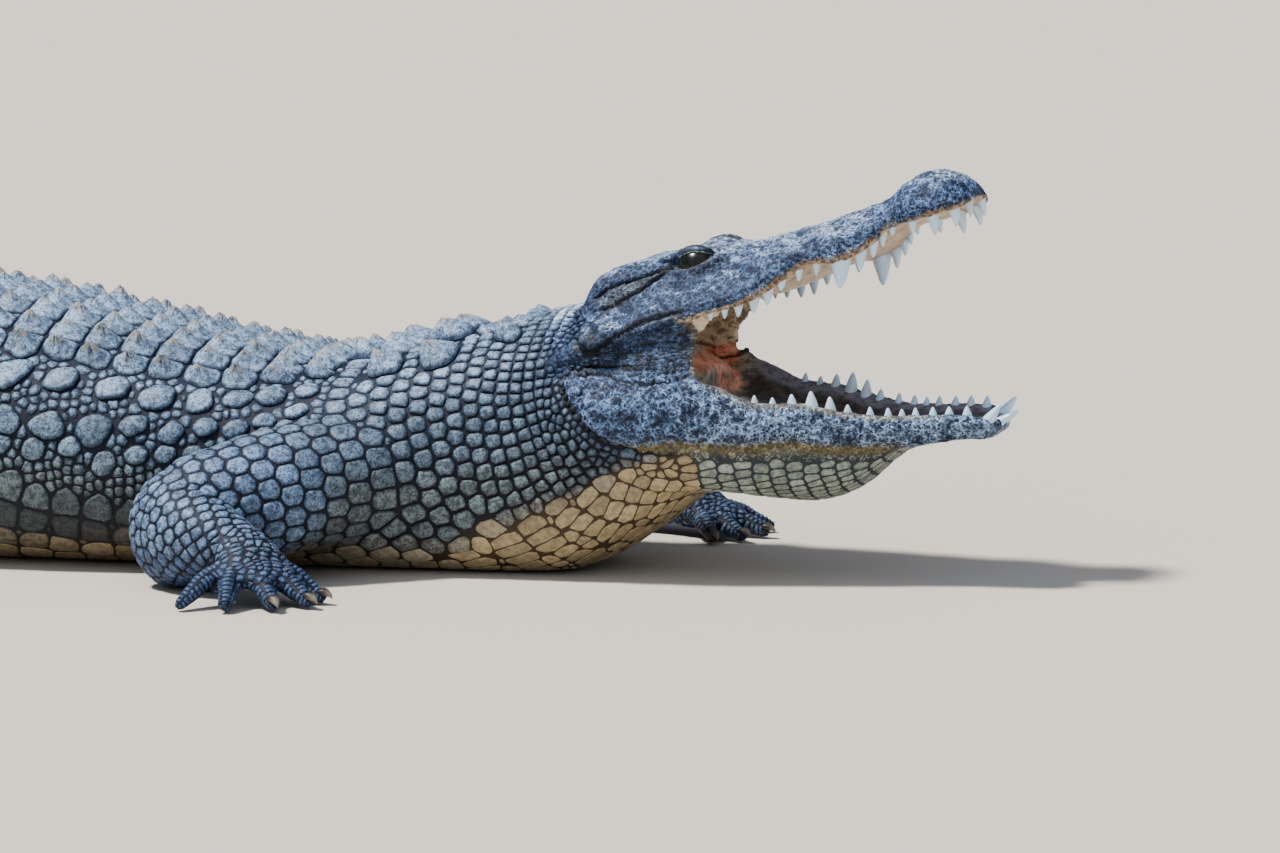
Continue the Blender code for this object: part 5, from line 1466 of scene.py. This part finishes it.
# Legs: squares on shoulder and thigh, smaller brick rows to the wrist, fine grains on the
# palms and a ladder of plates along each toe.
corners_of = {limb[0]: np.array((0.02 + 0.5 * (k % 2), 0.02 + 0.5 * (k // 2)))
              for k, limb in enumerate(LIMBS)}
for name, (upper, lower), paw in LIMBS:
    corner = corners_of[name]
    group = "arms" if name.startswith("hand") else "legs"
    limb_scales(group, upper, (0.031, 0.019), (0.027, 0.019), 0.0024, corner, shy=0.70)
    limb_scales(group, lower, (0.0155, 0.0062), (0.0165, 0.0215), 0.0018, corner, shy=0.60, stagger=0.0)
    limb_scales("paws", palms[name], (0.0062, 0.0058), (0.0190, 0.0130), 0.0012, corner, PALM_DEPTH, shy=0.50,
                stagger=0.0)
for name, k, digit, along in digit_places:
    limb_scales("paws", digit, (0.0062, 0.0050), (0.0200, 0.0140), 0.0015, corners_of[name] + (0.3, 0.05 * k),
                DIGIT_DEPTH, PALM_DEPTH, 0.10, 1.12, jitter=0.03, shy=0.45, first=0.0, stagger=0.0, number=4)

# Head: fine polygons over the bone, smaller towards the snout's end, and larger pale ovals in rows under the
# jaw.


def section_scales(group, surface, steps, first, last, spacing, tall, allow, jitter, gap, shy=0.60):
    """Scales over both sides of a head piece between two turns of its section."""
    turns = np.linspace(first, last, 140)
    path = surface(steps[:, None], turns[None])
    wide = spacing(path)
    rows, samples = spread(path, 0.3, wide, 0.5)
    widths, count = wide[rows, samples.astype(int)], len(rows)
    pitch = np.maximum(np.gradient(steps)[rows], widths * 0.9)
    for side in (0, 1):
        along = steps[rows] + chance.uniform(-jitter, jitter, count) * pitch
        turn = np.interp(samples + chance.uniform(-jitter, jitter, count), np.arange(140), turns)
        turn = 2 - turn if side else turn
        points = surface(along, turn)
        behind = surface(along - 0.004, turn) - surface(along + 0.004, turn)
        where = np.stack((0.02 + 0.9 * (steps[rows] - steps[0]) / (steps[-1] - steps[0]),
                          0.5 + (side - 0.5) * 0.94 * (samples / 139)), 1)
        plant(group, points, behind, np.maximum(pitch, widths), widths, tall, 0.0, where, shy, gap=gap,
              grow=allow(points))


def beside_spots(x, side_sign, z):
    """Places on the hide met by looking at it squarely from one side."""
    hits = [hide.ray_cast(Vector((a, side_sign * 0.3, b)) + Vector(HOME), Vector((0.0, -side_sign, 0.0)))
            for a, b in zip(x, z)]
    return np.array([hit[0] if hit[0] is not None else (9, 9, 9) for hit in hits]) - HOME


def creased(points, close=1.0):
    """True on the bottom of a crease."""
    hit = np.zeros(len(points), bool)
    for line, wide, deep, fade in CREASES:
        far, share = to_line(points[:, 0], points[:, 2], line)
        hit |= (far < wide * close) & (share > fade / 2) & (share < 1 - fade / 2)
    return hit & (np.abs(points[:, 1]) > 0.045)


def behind_jaw(points):
    """True behind the crease where the jaw's muscle meets the neck."""
    line = np.array(JAW_BACK)[::-1]
    return points[:, 0] < np.interp(points[:, 2], line[:, 1], line[:, 0]) + 0.001


def skull_spacing(path):
    """5.4 mm, 4.6 on the snout's end."""
    return 0.0054 - 0.0008 * smooth(path[..., 0], 0.2, 0.4)


def on_skull(points):
    """The skull outside the eye's opening, the creases and the hidden back."""
    along, across, high = to_skull(points)
    return ((in_lids(along, high) < -0.0018) & ~creased(points, 0.8) & (along > -0.045)
            & (to_nostril(along, across) > 0.006))


def on_jaw(points):
    """The lower jaw's outside, ahead of the neck."""
    low = np.interp(points[:, 0], *np.array(FOLD_LOW).T)
    front_edge = np.where(points[:, 1] > 0, 0.155, 0.140)
    on_cheek = (points[:, 2] > low) & (points[:, 0] < front_edge) & (np.abs(points[:, 1]) > 0.06)
    return ~behind_jaw(points) & ~creased(points, 0.9) & (points[:, 2] > 0.135) & ~on_cheek


def jaw_spacing(path):
    """10 mm at the muscle, 5 towards the tip."""
    return 0.0102 - 0.0050 * smooth(path[..., 0], 0.04, 0.30)


def throat_spacing(path):
    """10.5 mm at the neck, 7.5 under the jaw's tip."""
    return 0.0105 - 0.0030 * smooth(path[..., 0], 0.2, 0.4)


snout_end = (0.4095, 0.4130, 0.4160, 0.4184, 0.4204, 0.4220, 0.4232, 0.4240)
skull_rows = np.concatenate((np.arange(-0.04, 0.407, 0.0051), snout_end))
section_scales("head", skull_surface, skull_rows, 0.0, 0.655, skull_spacing, 0.0004, on_skull, 0.42, 0.010)
jaw_rows = np.concatenate((paced(-0.02, 0.425,
                                 ((-0.02, 0.0100), (0.06, 0.0092), (0.30, 0.0052), (0.44, 0.0046))),
                           (0.4290, 0.4325, 0.4355, 0.4375, 0.4388)))
section_scales("jaw", jaw_surface, jaw_rows, 0.445, 0.80, jaw_spacing, 0.0004, on_jaw, 0.40, 0.008)
throat_rows = paced(0.07, 0.40, ((0.05, 0.0210), (0.20, 0.0170), (0.40, 0.0120)))
section_scales("throat", jaw_surface, throat_rows, 0.70, 1.0, throat_spacing, 0.0011,
               lambda points: points[:, 2] < 0.148, 0.08, 0.045, 0.78)

# Cheeks: polygons below, a row of beads between two creases, then long narrow scales in
# fine lines drawn together towards the knob of the jaw joint.
# share of the way up the cheek, length and width as a share of the cheek's height
CHEEK_LINES = ((0.05, 0.0075, 0.115), (0.15, 0.0070, 0.115), (0.235, 0.0070, 0.10),
               (0.315, 0.0095, 0.085), (0.385, 0.0100, 0.060), (0.435, 0.0110, 0.055),
               (0.485, 0.0120, 0.055), (0.535, 0.0120, 0.055), (0.59, 0.0120, 0.055),
               (0.65, 0.0120, 0.055), (0.71, 0.0120, 0.055), (0.77, 0.0120, 0.055))
for side_sign in (-1.0, 1.0):
    for share, long, narrow in CHEEK_LINES:
        line_x = np.arange(0.030 + 0.003 * (long * 1e4 % 2), 0.139 if share < 0.3 else 0.118, long * 0.93)
        line_x = line_x + chance.uniform(-0.1, 0.1, len(line_x)) * long
        low, high = (np.interp(line_x, *np.array(line).T) for line in (FOLD_LOW, UNDER_SKULL))
        line_z = low + (high - low) * (share + chance.uniform(-0.012, 0.012, len(line_x)))
        spots = beside_spots(line_x, side_sign, line_z)
        keep = ((np.abs(spots[:, 1]) > 0.085) & (np.abs(spots[:, 1]) < 0.13) & ~creased(spots, 0.5)
                & (line_x < curve(CHEEK_EDGE, line_z)[:, 0] - (0.005 if side_sign < 0 else 0.030)))
        aim_back = np.array((0.022, 0.0, 0.244)) - spots
        aim_back[:, 1] = 0.0
        plant("jaw", spots, unit(aim_back), long, (high - low) * narrow, 0.0005, 0.0,
              (0.5 + 0.5 * side_sign * share, 0.98), 0.40, fit=1.4, grow=keep)
    # beads of the neck follow the crease behind the jaw
    line = curve([(k, *spot) for k, spot in enumerate(JAW_BACK)], np.linspace(0.6, len(JAW_BACK) - 1, 400))
    run = run_along(line)
    ahead = unit(np.gradient(line, axis=0))
    for away, long in ((0.0060, 0.0078), (0.0140, 0.0088), (0.0228, 0.0098)):
        at_run = np.arange(0.004, run[-1], long)
        seat, way = (np.stack([np.interp(at_run, run, v[:, k]) for k in (0, 1)], -1) for v in (line, ahead))
        seat = seat + np.stack((way[:, 1], -way[:, 0]), -1) * away
        spots = beside_spots(seat[:, 0], side_sign, seat[:, 1])
        keep = (np.abs(spots[:, 1]) > 0.05) & (np.abs(spots[:, 1]) < 0.2)
        lie = np.stack((way[:, 0], 0 * at_run, way[:, 1]), -1)
        corner = np.stack((0.05 + at_run, 0.5 + side_sign * (0.3 + away) + 0 * at_run), 1)
        plant("belly", spots, lie, long, 0.0080, 0.0018, 0.0, corner, 0.62, fit=1.4, gap=0.030, grow=keep)

# Wherever the rows leave bare hide, small grains fill in, following their neighbours' lie.
GRAIN = 0.0074
BEHIND_MOUTH = 0.025          # ahead of this an edge of the mouth could be taken for a gap
at = np.concatenate([p["at"] for p in planted])
sizes = np.concatenate([(p["long"] + p["wide"]) / 4 for p in planted])
lies, spots = np.concatenate([p["lie"] for p in planted]), np.concatenate([p["place"] for p in planted])
kinds = np.concatenate([np.full(len(p["at"]), p["group"], dtype=object) for p in planted])
tree = tree_of(at)
_, bare_spots, _ = markings(places, outwards)
open_hide = (bare_spots < 0.45) & (on_cheek < 0.3) & (places[:, 0] < BEHIND_MOUTH)
near = [tree.find_n(point, 3) for point in places[open_hide].tolist()]
room = np.min([[hit[2] - sizes[hit[1]] for hit in hits] for hits in near], axis=1)
wanted = np.nonzero(room > GRAIN * 0.42)[0]
wanted = wanted[np.argsort(-room[wanted] + chance.uniform(0, 0.001, len(wanted)))]
candidates, owner = places[open_hide][wanted], np.array([hits[0][1] for hits in near])[wanted]
taken, cells = [], {}
for k, point in enumerate(candidates.tolist()):
    cell = tuple(int(np.floor(v / GRAIN)) for v in point)
    around = [cells.get((cell[0] + i, cell[1] + j, cell[2] + m), ()) for i in (-1, 0, 1) for j in (-1, 0, 1)
              for m in (-1, 0, 1)]
    if all((point[0] - q[0]) ** 2 + (point[1] - q[1]) ** 2 + (point[2] - q[2]) ** 2 > (GRAIN * 0.86) ** 2
           for qs in around for q in qs):
        cells.setdefault(cell, []).append(point)
        taken.append(k)
taken, owner = np.array(taken), owner[np.array(taken)]
for group in sorted(set(kinds)):
    mine = kinds[owner] == group
    if mine.any():
        plant(group, candidates[taken][mine], lies[owner][mine], GRAIN, GRAIN, 0.0011, 0.0,
              spots[owner][mine], 0, 1.0, 1.6, 0.02)

# Under the throat and belly the squares are flat tiles with hardly a gap.
for lot in planted:
    if lot["group"] == "belly":
        pale = np.maximum(cream_share(lot["at"]), smooth(0.030 - lot["at"][:, 2], 0.0, 0.02))
        lot["tall"] = np.minimum(lot["tall"], 0.0040 - 0.0031 * pale)
        lot["gap"] = lot["gap"] * (1 - pale) + 0.008 * pale

# Tail crest: two rows of upright fins draw together and become one, tallest two thirds
# of the way down; each fin is a leaf of horn raked backwards.
PAIRED_CREST = ((1.06, 0.010), (1.50, 0.020), (1.84, 0.030), (1.97, 0.008))
SINGLE_CREST = ((1.84, 0.014), (1.98, 0.034), (2.20, 0.036), (2.45, 0.022), (TAIL_TIP - 0.03, 0.006))
CREST_SPREAD = ((1.06, 0.040), (1.50, 0.026), (1.84, 0.012), (1.97, 0.008))


def fin_points(step, spread_by, height, long):
    """One fin: rings from its sunk foot to its tip, each a thin lens raked back."""
    rise = np.array((-0.18, 0.0, 0.25, 0.5, 0.72, 0.88, 0.97, 1.0))[:, None]
    turn = np.linspace(0, 2 * np.pi, 16, endpoint=False)[None]
    left = np.clip(1 - rise, 0.02, 1.0)
    half = long / 2 * left ** 0.75
    along = half * np.cos(turn) + 0.30 * long * np.clip(rise, 0, 1) ** 1.3
    aside = (0.0052 * left ** 0.7 + 0.0004) * np.sin(turn) * (1 - 0.5 * np.abs(np.cos(turn)))
    angle = np.pi / 2 - arc_to_angle([step], [abs(spread_by)])[0]
    foot = body_surface(step, np.pi / 2 - np.sign(spread_by) * angle)
    ahead = unit(body_surface(step + 0.006, np.pi / 2) - body_surface(step - 0.006, np.pi / 2))
    lean = unit(UP + 0.16 * np.sign(spread_by) * np.cross(ahead, UP))
    over = np.cross(ahead, lean)
    upward = (rise * height + 0 * turn)[..., None]
    return foot + along[..., None] * ahead + aside[..., None] * over + upward * lean


fin_places = [(step, side * curve(CREST_SPREAD, step)[0, 0], curve(PAIRED_CREST, step)[0, 0])
              for step in np.arange(TAIL_START + 0.01, 1.97, WHORL_PITCH) for side in (-1.0, 1.0)]
fin_places += [(step, 0.0, curve(SINGLE_CREST, step)[0, 0])
               for step in np.arange(1.86, TAIL_TIP - 0.03, WHORL_PITCH * 0.86)]
crest_rings, crest_rise = [], []
for step, aside, height in fin_places:
    rings = fin_points(step, aside, height, WHORL_PITCH * (0.98 if aside else 0.90))
    rise = np.linspace(0, 1, len(rings))[:, None] + 0.0 * rings[..., 0]
    crest_rings.append(rings)
    crest_rise.append(np.append(rise, (0.5, 0.5)))
crest_points, crest_faces = joined_tubes(crest_rings)
crest = mesh_object("tail_crest", crest_points, crest_faces)
rise = np.concatenate(crest_rise)
crest_tones, _, _ = markings(crest_points, np.broadcast_to((0.0, 0.3, 0.95), (len(rise), 3)))
# edge darkens each fin towards its foot with the scales' painted rim shade
set_marks(crest, deep=crest_tones[:, 0], bright=crest_tones[:, 1], edge=0.9 - 0.9 * rise, wear=0.75 * rise,
          luck=0.5 + 0 * rise,
          spoke=np.stack((crest_points[:, 0] * 30, rise, 0 * rise), -1))
outward(crest).data.shade_smooth()

# The outlines, all worked out together so that neighbours of any kind fit each other.
seeds = {key: np.concatenate([p[key] for p in planted]) 
         for key in ("at", "normal", "lie", "long", "wide", "tall", "keel", "place", "fit", "gap")}
groups = np.concatenate([np.full(len(p["at"]), p["group"], dtype=object) for p in planted])
NEIGHBOURS = 13
tree = tree_of(seeds["at"])
close = np.array([[hit[1] for hit in tree.find_n(spot, NEIGHBOURS + 1)]
                  for spot in seeds["at"].tolist()])[:, 1:]
sideways = np.cross(seeds["normal"], seeds["lie"])
offset = seeds["at"][close] - seeds["at"][:, None]
ahead = (offset * seeds["lie"][:, None]).sum(-1)
beside = (offset * sideways[:, None]).sum(-1)
flat = np.maximum(np.hypot(ahead, beside), 1e-6)
apart = (offset ** 2).sum(-1) / flat          # round a curve the halfway mark lies further out
apart = np.minimum(apart, 1.4 * flat)
bearing = np.arctan2(beside, ahead)


def oval(angle, long, wide):
    """Radius of an oval of that length and width."""
    return 0.5 / np.sqrt((np.cos(angle) / long) ** 2 + (np.sin(angle) / wide) ** 2)


own = oval(bearing, seeds["long"][:, None], seeds["wide"][:, None])
theirs = oval(bearing, seeds["long"][close], seeds["wide"][close])
border = apart * own / (own + theirs)
same_side = (seeds["normal"][close] * seeds["normal"][:, None]).sum(-1) > 0.1
border = np.where(same_side & (apart > 1e-5), border, 9.0)
SQUARENESS = 13.0


def outline(index, count):
    """Radii of the outlines of the scales numbered by index, in count directions."""
    turn = np.arange(count) * 2 * np.pi / count
    long, wide = seeds["long"][index][:, None], seeds["wide"][index][:, None]
    angle = np.arctan2(wide * np.sin(turn), long * np.cos(turn))
    facing = np.cos(angle[:, None] - bearing[index][..., None])
    reach = np.where(facing > 0.12, border[index][..., None] / np.maximum(facing, 0.12), 9.0)
    limit = oval(angle, long, wide) * seeds["fit"][index][:, None]
    total = (reach ** -SQUARENESS).sum(1) + limit ** -SQUARENESS
    radius = total ** (-1 / SQUARENESS)
    return angle, np.maximum(radius - GROOVE_LEAST - seeds["gap"][index][:, None] * np.minimum(long, wide),
                             0.2 * limit)


GROOVE_LEAST = 0.0001         # half the groove between two scales is never less
SUNK = 0.0005                 # how far below the hide a scale's rim is rooted
PEAK = 0.26                   # of half a plate's length behind its middle
WORN = 0.016                  # how high a keel has to stand for its tip to be all worn
# by size: smallest scale of the kind, directions, then (share of the radius, share of the
# height) of its rings from the rim inwards
KINDS = ((0.0340, 24,
          ((1, 0), (0.955, 0.42), (0.87, 0.72), (0.70, 0.88), (0.50, 0.95), (0.32, 1), (0.14, 1))),
         (0.0220, 16, ((1, 0), (0.94, 0.42), (0.80, 0.72), (0.45, 0.94))),
         (0.0125, 12, ((1, 0), (0.92, 0.46), (0.64, 0.84))),
         (0.0, 8, ((1, 0), (0.88, 0.56))))
EDGE_REACH = 0.006            # how far in from its rim a scale's edge is told apart


def crown(x, y, spoke):
    """A worn horn peak behind a plate's middle: sides hollow, a ridge running up to it."""
    cone = np.maximum(0, 1 - np.sqrt(((x - PEAK) / 1.1) ** 2 + (y / 0.95) ** 2 + 0.004)) ** 1.25
    ridge = hill(y, 0.26) * smooth(x, -1.0, PEAK) * (1 - smooth(x, PEAK + 0.1, 0.95))
    return 0.76 * cone * spoke + 0.24 * ridge


def scale_mesh(index, count, rings):
    """What the points of scales of one kind carry, ring by ring from the rim in and last the
    middle (place, share of the edge, spot on the map, wear, spoke), their quads and caps."""
    angle, radius = outline(index, count)
    at, normal, lie, long, wide, tall, keel, spot = (
        seeds[key][index][:, None]
        for key in ("at", "normal", "lie", "long", "wide", "tall", "keel", "place"))
    number, rank = len(index), len(rings)
    radius = radius * chance.uniform(0.97, 1.02, radius.shape)
    spokes = np.stack((np.cos(angle), np.sin(angle)), -1)
    rim, rim_normal, _ = on_skin((at + radius[..., None] * (
        spokes[..., :1] * lie + spokes[..., 1:] * sideways[index][:, None])).reshape(-1, 3))
    rim, rim_normal = (v.reshape(number, count, 3) for v in (rim, rim_normal))
    bulge = ((rim - at) * (rim_normal - normal)).sum(-1) / 2
    lift = tall * chance.uniform(0.75, 1.2, (number, 1))
    lean_a, lean_b = chance.uniform(-0.25, 0.25, (2, number, 1))
    x, y = radius * spokes[..., 0] / (long / 2), radius * spokes[..., 1] / (wide / 2)
    rough = chance.uniform(0.72, 1.28, radius.shape)
    peaked = np.where(keel > 0.004, PEAK, 0.0)
    levels = []
    for share, height in rings:
        drift = peaked * (1 - share) ** 2
        raised = keel * crown(x * share + drift, y * share, rough) * (1 - share ** 6)
        tilt = 1 + lean_a * x * share + lean_b * y * share
        up_by = lift * height * tilt + raised + share * (1 - share) * bulge - SUNK * (share == 1)
        up_way = unit(normal * (1 - share) + rim_normal * share)
        middle = at * (1 - share) + rim * share + up_way * up_by[..., None]
        levels.append((middle + lie * (drift * long / 2)[..., None],
                       np.maximum(0.0, 1 - (1 - share) * radius / EDGE_REACH) + 0.15 * (share == 1),
                       spot + 0.0015 * share * spokes, raised / WORN,
                       np.concatenate((spokes, np.zeros((number, count, 1)) + luck[index][:, None, None]),
                                      -1)))
    peak = keel * crown(PEAK, 0.0, 1.0)
    luck_only = np.zeros((number, 1, 3)) + luck[index][:, None, None] * (0, 0, 1)
    levels.append((at + normal * (lift + peak)[..., None] + lie * (peaked * long / 2)[..., None],
                   np.maximum(0.0, 1 - radius.min(1, keepdims=True) / EDGE_REACH),
                   spot, peak / WORN, luck_only))
    names = ("at", "edge", "spot", "wear", "spoke")
    marks = {key: np.concatenate(values, 1) for key, values in zip(names, zip(*levels))}
    ring, last = np.arange(count), (rank - 1) * count
    after = (ring + 1) % count
    quads = np.concatenate([np.stack((k + ring, k + after, k + count + after, k + count + ring), -1)
                            for k in range(0, last, count)])
    return marks, quads, np.stack((last + ring, last + after, np.full(count, rank * count)), -1)


def coat_piece(name, index):
    """One mesh of the scales numbered by index, with its map and markings."""
    size = (seeds["long"][index] + seeds["wide"][index]) / 2
    marks, faces, total, bigger = {}, [], 0, np.inf
    for smallest, count, rings in KINDS:
        chosen = index[(size >= smallest) & (size < bigger)]
        bigger = smallest
        if not len(chosen):
            continue
        made, quads, cap = scale_mesh(chosen, count, rings)
        per = made["at"].shape[1]
        made["luck"] = np.repeat(luck[chosen][:, None], per, 1)
        made["deep"], made["bright"] = (np.repeat(scale_tones[chosen][:, None, k], per, 1) for k in (0, 1))
        starts = total + np.arange(len(chosen))[:, None, None] * per
        faces += (starts + quads).reshape(-1, 4).tolist() + (starts + cap).reshape(-1, 3).tolist()
        total += len(chosen) * per
        for key, values in made.items():
            marks.setdefault(key, []).append(values.reshape(-1, *values.shape[2:]))
    marks = {key: np.concatenate(values) for key, values in marks.items()}
    piece = mesh_object(name, marks["at"], faces)
    loops = np.empty(len(piece.data.loops), int)
    piece.data.loops.foreach_get("vertex_index", loops)
    piece.data.uv_layers.new(name="OFBake").data.foreach_set("uv", marks["spot"][loops].ravel())
    set_marks(piece, **{key: marks[key] for key in ("edge", "luck", "deep", "bright", "spoke", "wear")})
    piece.data.shade_smooth()
    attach(piece, "root")
    return piece


luck = chance.uniform(0, 1, len(groups))
scale_tones, _, _ = markings(seeds["at"], seeds["normal"])
scale_tones[:, 1] *= (0.80 + 0.40 * luck)[:, None]

# Horn: paler on each dome, partly its own colour and partly a painted highlight, and darker towards the rim
# with painted shade by the groove, peppered with dark specks; on the peaks of the back dust and wear leave a
# tan tip, and fine wrinkles run down from it.
horn = Finish("horny_scales")
edge = horn.amount("edge")
blotch = horn.noise(150.0, 3.0, rough=0.6)
pepper = horn.noise(480.0, 4.0, rough=0.75)
wrinkle = horn.noise(3.2, 3.0, horn.stretched(horn.mark("spoke"), (1.0, 1.0, 40.0)), 0.6)
creamy = horn.part(horn.mark("deep"), 0).between(0.012, 0.045)
# painted shade: each scale darkened towards its rim, by the groove; on the claws the same mark is their wear
worn = 1.0 - 0.50 * edge.between(0.62 + 0.24 * creamy, 0.97) - 0.50 * edge.between(0.96, 1.04)
# partly a painted highlight: the middle of each scale is left paler than its sides
crowned = worn * (0.74 + 0.26 * (1.0 - edge.between(0.2, 0.9)).most(creamy))
specked = (0.85 - 0.62 * creamy) * (1.0 - pepper.between(0.37, 0.53))
patchy = 0.42 + 0.24 * creamy + (0.70 - 0.30 * creamy) * blotch.between(0.36, 0.62)
pale = crowned * patchy * (1.0 - specked)
colour = horn.mix(horn.mark("deep"), horn.mark("bright"), pale)
tan = horn.amount("wear").between(0.34, 0.66) * blotch.between(0.36, 0.52)
colour = horn.mix(colour, (0.34, 0.285, 0.215), 0.65 * tan)
relief = (0.6 * horn.noise(420.0, 3.0, rough=0.6)
          + 0.9 * wrinkle * edge.between(0.1, 0.5).most(horn.amount("wear").between(0.02, 0.2)))
scale_paint = horn.end(base_color=colour, roughness=0.42 + 0.25 * blotch,
                       normal=horn.bump(relief, 0.5, 0.0016))

# The head's skin is tight over the bone: dull blue cells, each with a pale raised border and painted shade
# darkening its rim.
tight = Finish("head_skin")
edge = tight.amount("edge")
raised = edge.between(0.78, 0.93)
net_pale, net_relief = wrinkled_net(tight)
lined = 1.0 - tight.part(tight.mark("deep"), 2).between(0.022, 0.030)
# painted shade along each scale's rim by the groove, stronger where the dark tone is deepest
painted_rim_shade = (0.40 + 0.45 * lined) * edge.between(1.02 - 0.10 * lined, 1.12 - 0.08 * lined)
pale = (net_pale + (0.10 + 0.25 * lined) * raised) * (1.0 - painted_rim_shade)
pale = pale.most(0.0).least(1.0)
colour = tight.mix(tight.mark("deep"), tight.mark("bright"), pale)
relief = net_relief + 0.3 * tight.noise(480.0, 3.0, rough=0.65) + 0.2 * raised
head_paint = tight.end(base_color=colour, roughness=0.62 - 0.15 * pale,
                       normal=tight.bump(relief, 0.6, 0.0015))
GROUP_SLOTS = {"back": "olive_hide", "flank": "olive_hide", "belly": "olive_hide", "tail": "olive_hide",
               "arms": "limb_hide", "legs": "limb_hide", "paws": "limb_hide", "head": "slate_hide",
               "jaw": "jaw_hide", "throat": "jaw_hide"}
crest.data.materials.append(scale_paint)
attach(crest, "root")
for group, slot_name in GROUP_SLOTS.items():
    piece = coat_piece(group + "_scales", np.nonzero(groups == group)[0])
    piece.data.materials.append(head_paint if group in ("head", "jaw") else scale_paint)

# ------------------------------------------------------------------ floor, light, camera
FLOOR_REACH = 60.0
FLOOR_GAP = 0.0006            # the floor lies this far under the soles
floor_mesh = bpy.data.meshes.new("floor")
floor_corners = [(x * FLOOR_REACH, y * FLOOR_REACH, -FLOOR_GAP) for x,
                 y in ((-1, -1), (1, -1), (1, 1), (-1, 1))]
floor_mesh.from_pydata(floor_corners, [], [(0, 1, 2, 3)])
floor = bpy.data.objects.new("floor", floor_mesh)
bpy.context.scene.collection.objects.link(floor)
floor_paint = Finish("pale_floor")
grain = floor_paint.noise(2.2, 5.0, rough=0.6)
colour = floor_paint.mix((0.612, 0.573, 0.515), (0.628, 0.587, 0.525), grain)
floor_mesh.materials.append(floor_paint.end(base_color=colour, roughness=0.86 + 0.08 * grain))

VIEW_AZIMUTH, VIEW_ELEVATION = np.radians(18.0), np.radians(8.0)
VIEW_DISTANCE = 7.0
AIM_HEIGHT, AIM_RIGHT, AIM_DOWN = 0.285, 0.0419, 0.1356
LENS = 188.0
back = np.array((np.sin(VIEW_AZIMUTH) * np.cos(VIEW_ELEVATION),
                 -np.cos(VIEW_AZIMUTH) * np.cos(VIEW_ELEVATION),
                 np.sin(VIEW_ELEVATION)))
right = np.array((np.cos(VIEW_AZIMUTH), np.sin(VIEW_AZIMUTH), 0.0))
up = np.cross(back, right)
aim = np.array((0.0, 0.0, AIM_HEIGHT)) + right * AIM_RIGHT - up * AIM_DOWN
camera = bpy.data.objects.new("camera", bpy.data.cameras.new("camera"))
bpy.context.scene.collection.objects.link(camera)
camera.data.sensor_width = 36.0
camera.data.lens = LENS
turned = Matrix((right, up, back)).transposed().to_4x4()
camera.matrix_world = Matrix.Translation(Vector(aim + HOME + back * VIEW_DISTANCE)) @ turned
camera.data.clip_end = 60
bpy.context.scene.camera = camera

bpy.context.scene.view_settings.look = "AgX - Medium High Contrast"
world = bpy.data.worlds.new("studio")
bpy.context.scene.world = world
world.use_nodes = True
world.node_tree.nodes["Background"].inputs["Color"].default_value = (0.80, 0.86, 1.0, 1)
world.node_tree.nodes["Background"].inputs["Strength"].default_value = 0.30
for name, energy, soft, toward, tint in (("key", 4.4, 7.0, (0.42, 0.30, -1.0), (1.0, 0.965, 0.91)),
                                         ("sky", 0.9, 100.0, (-0.30, 0.85, -0.55), (0.84, 0.91, 1.0))):
    lamp = bpy.data.objects.new(name, bpy.data.lights.new(name, "SUN"))
    lamp.data.energy, lamp.data.angle, lamp.data.color = energy, np.radians(soft), tint
    lamp.matrix_world = Vector(toward).to_track_quat("-Z", "Y").to_matrix().to_4x4()
    bpy.context.scene.collection.objects.link(lamp)
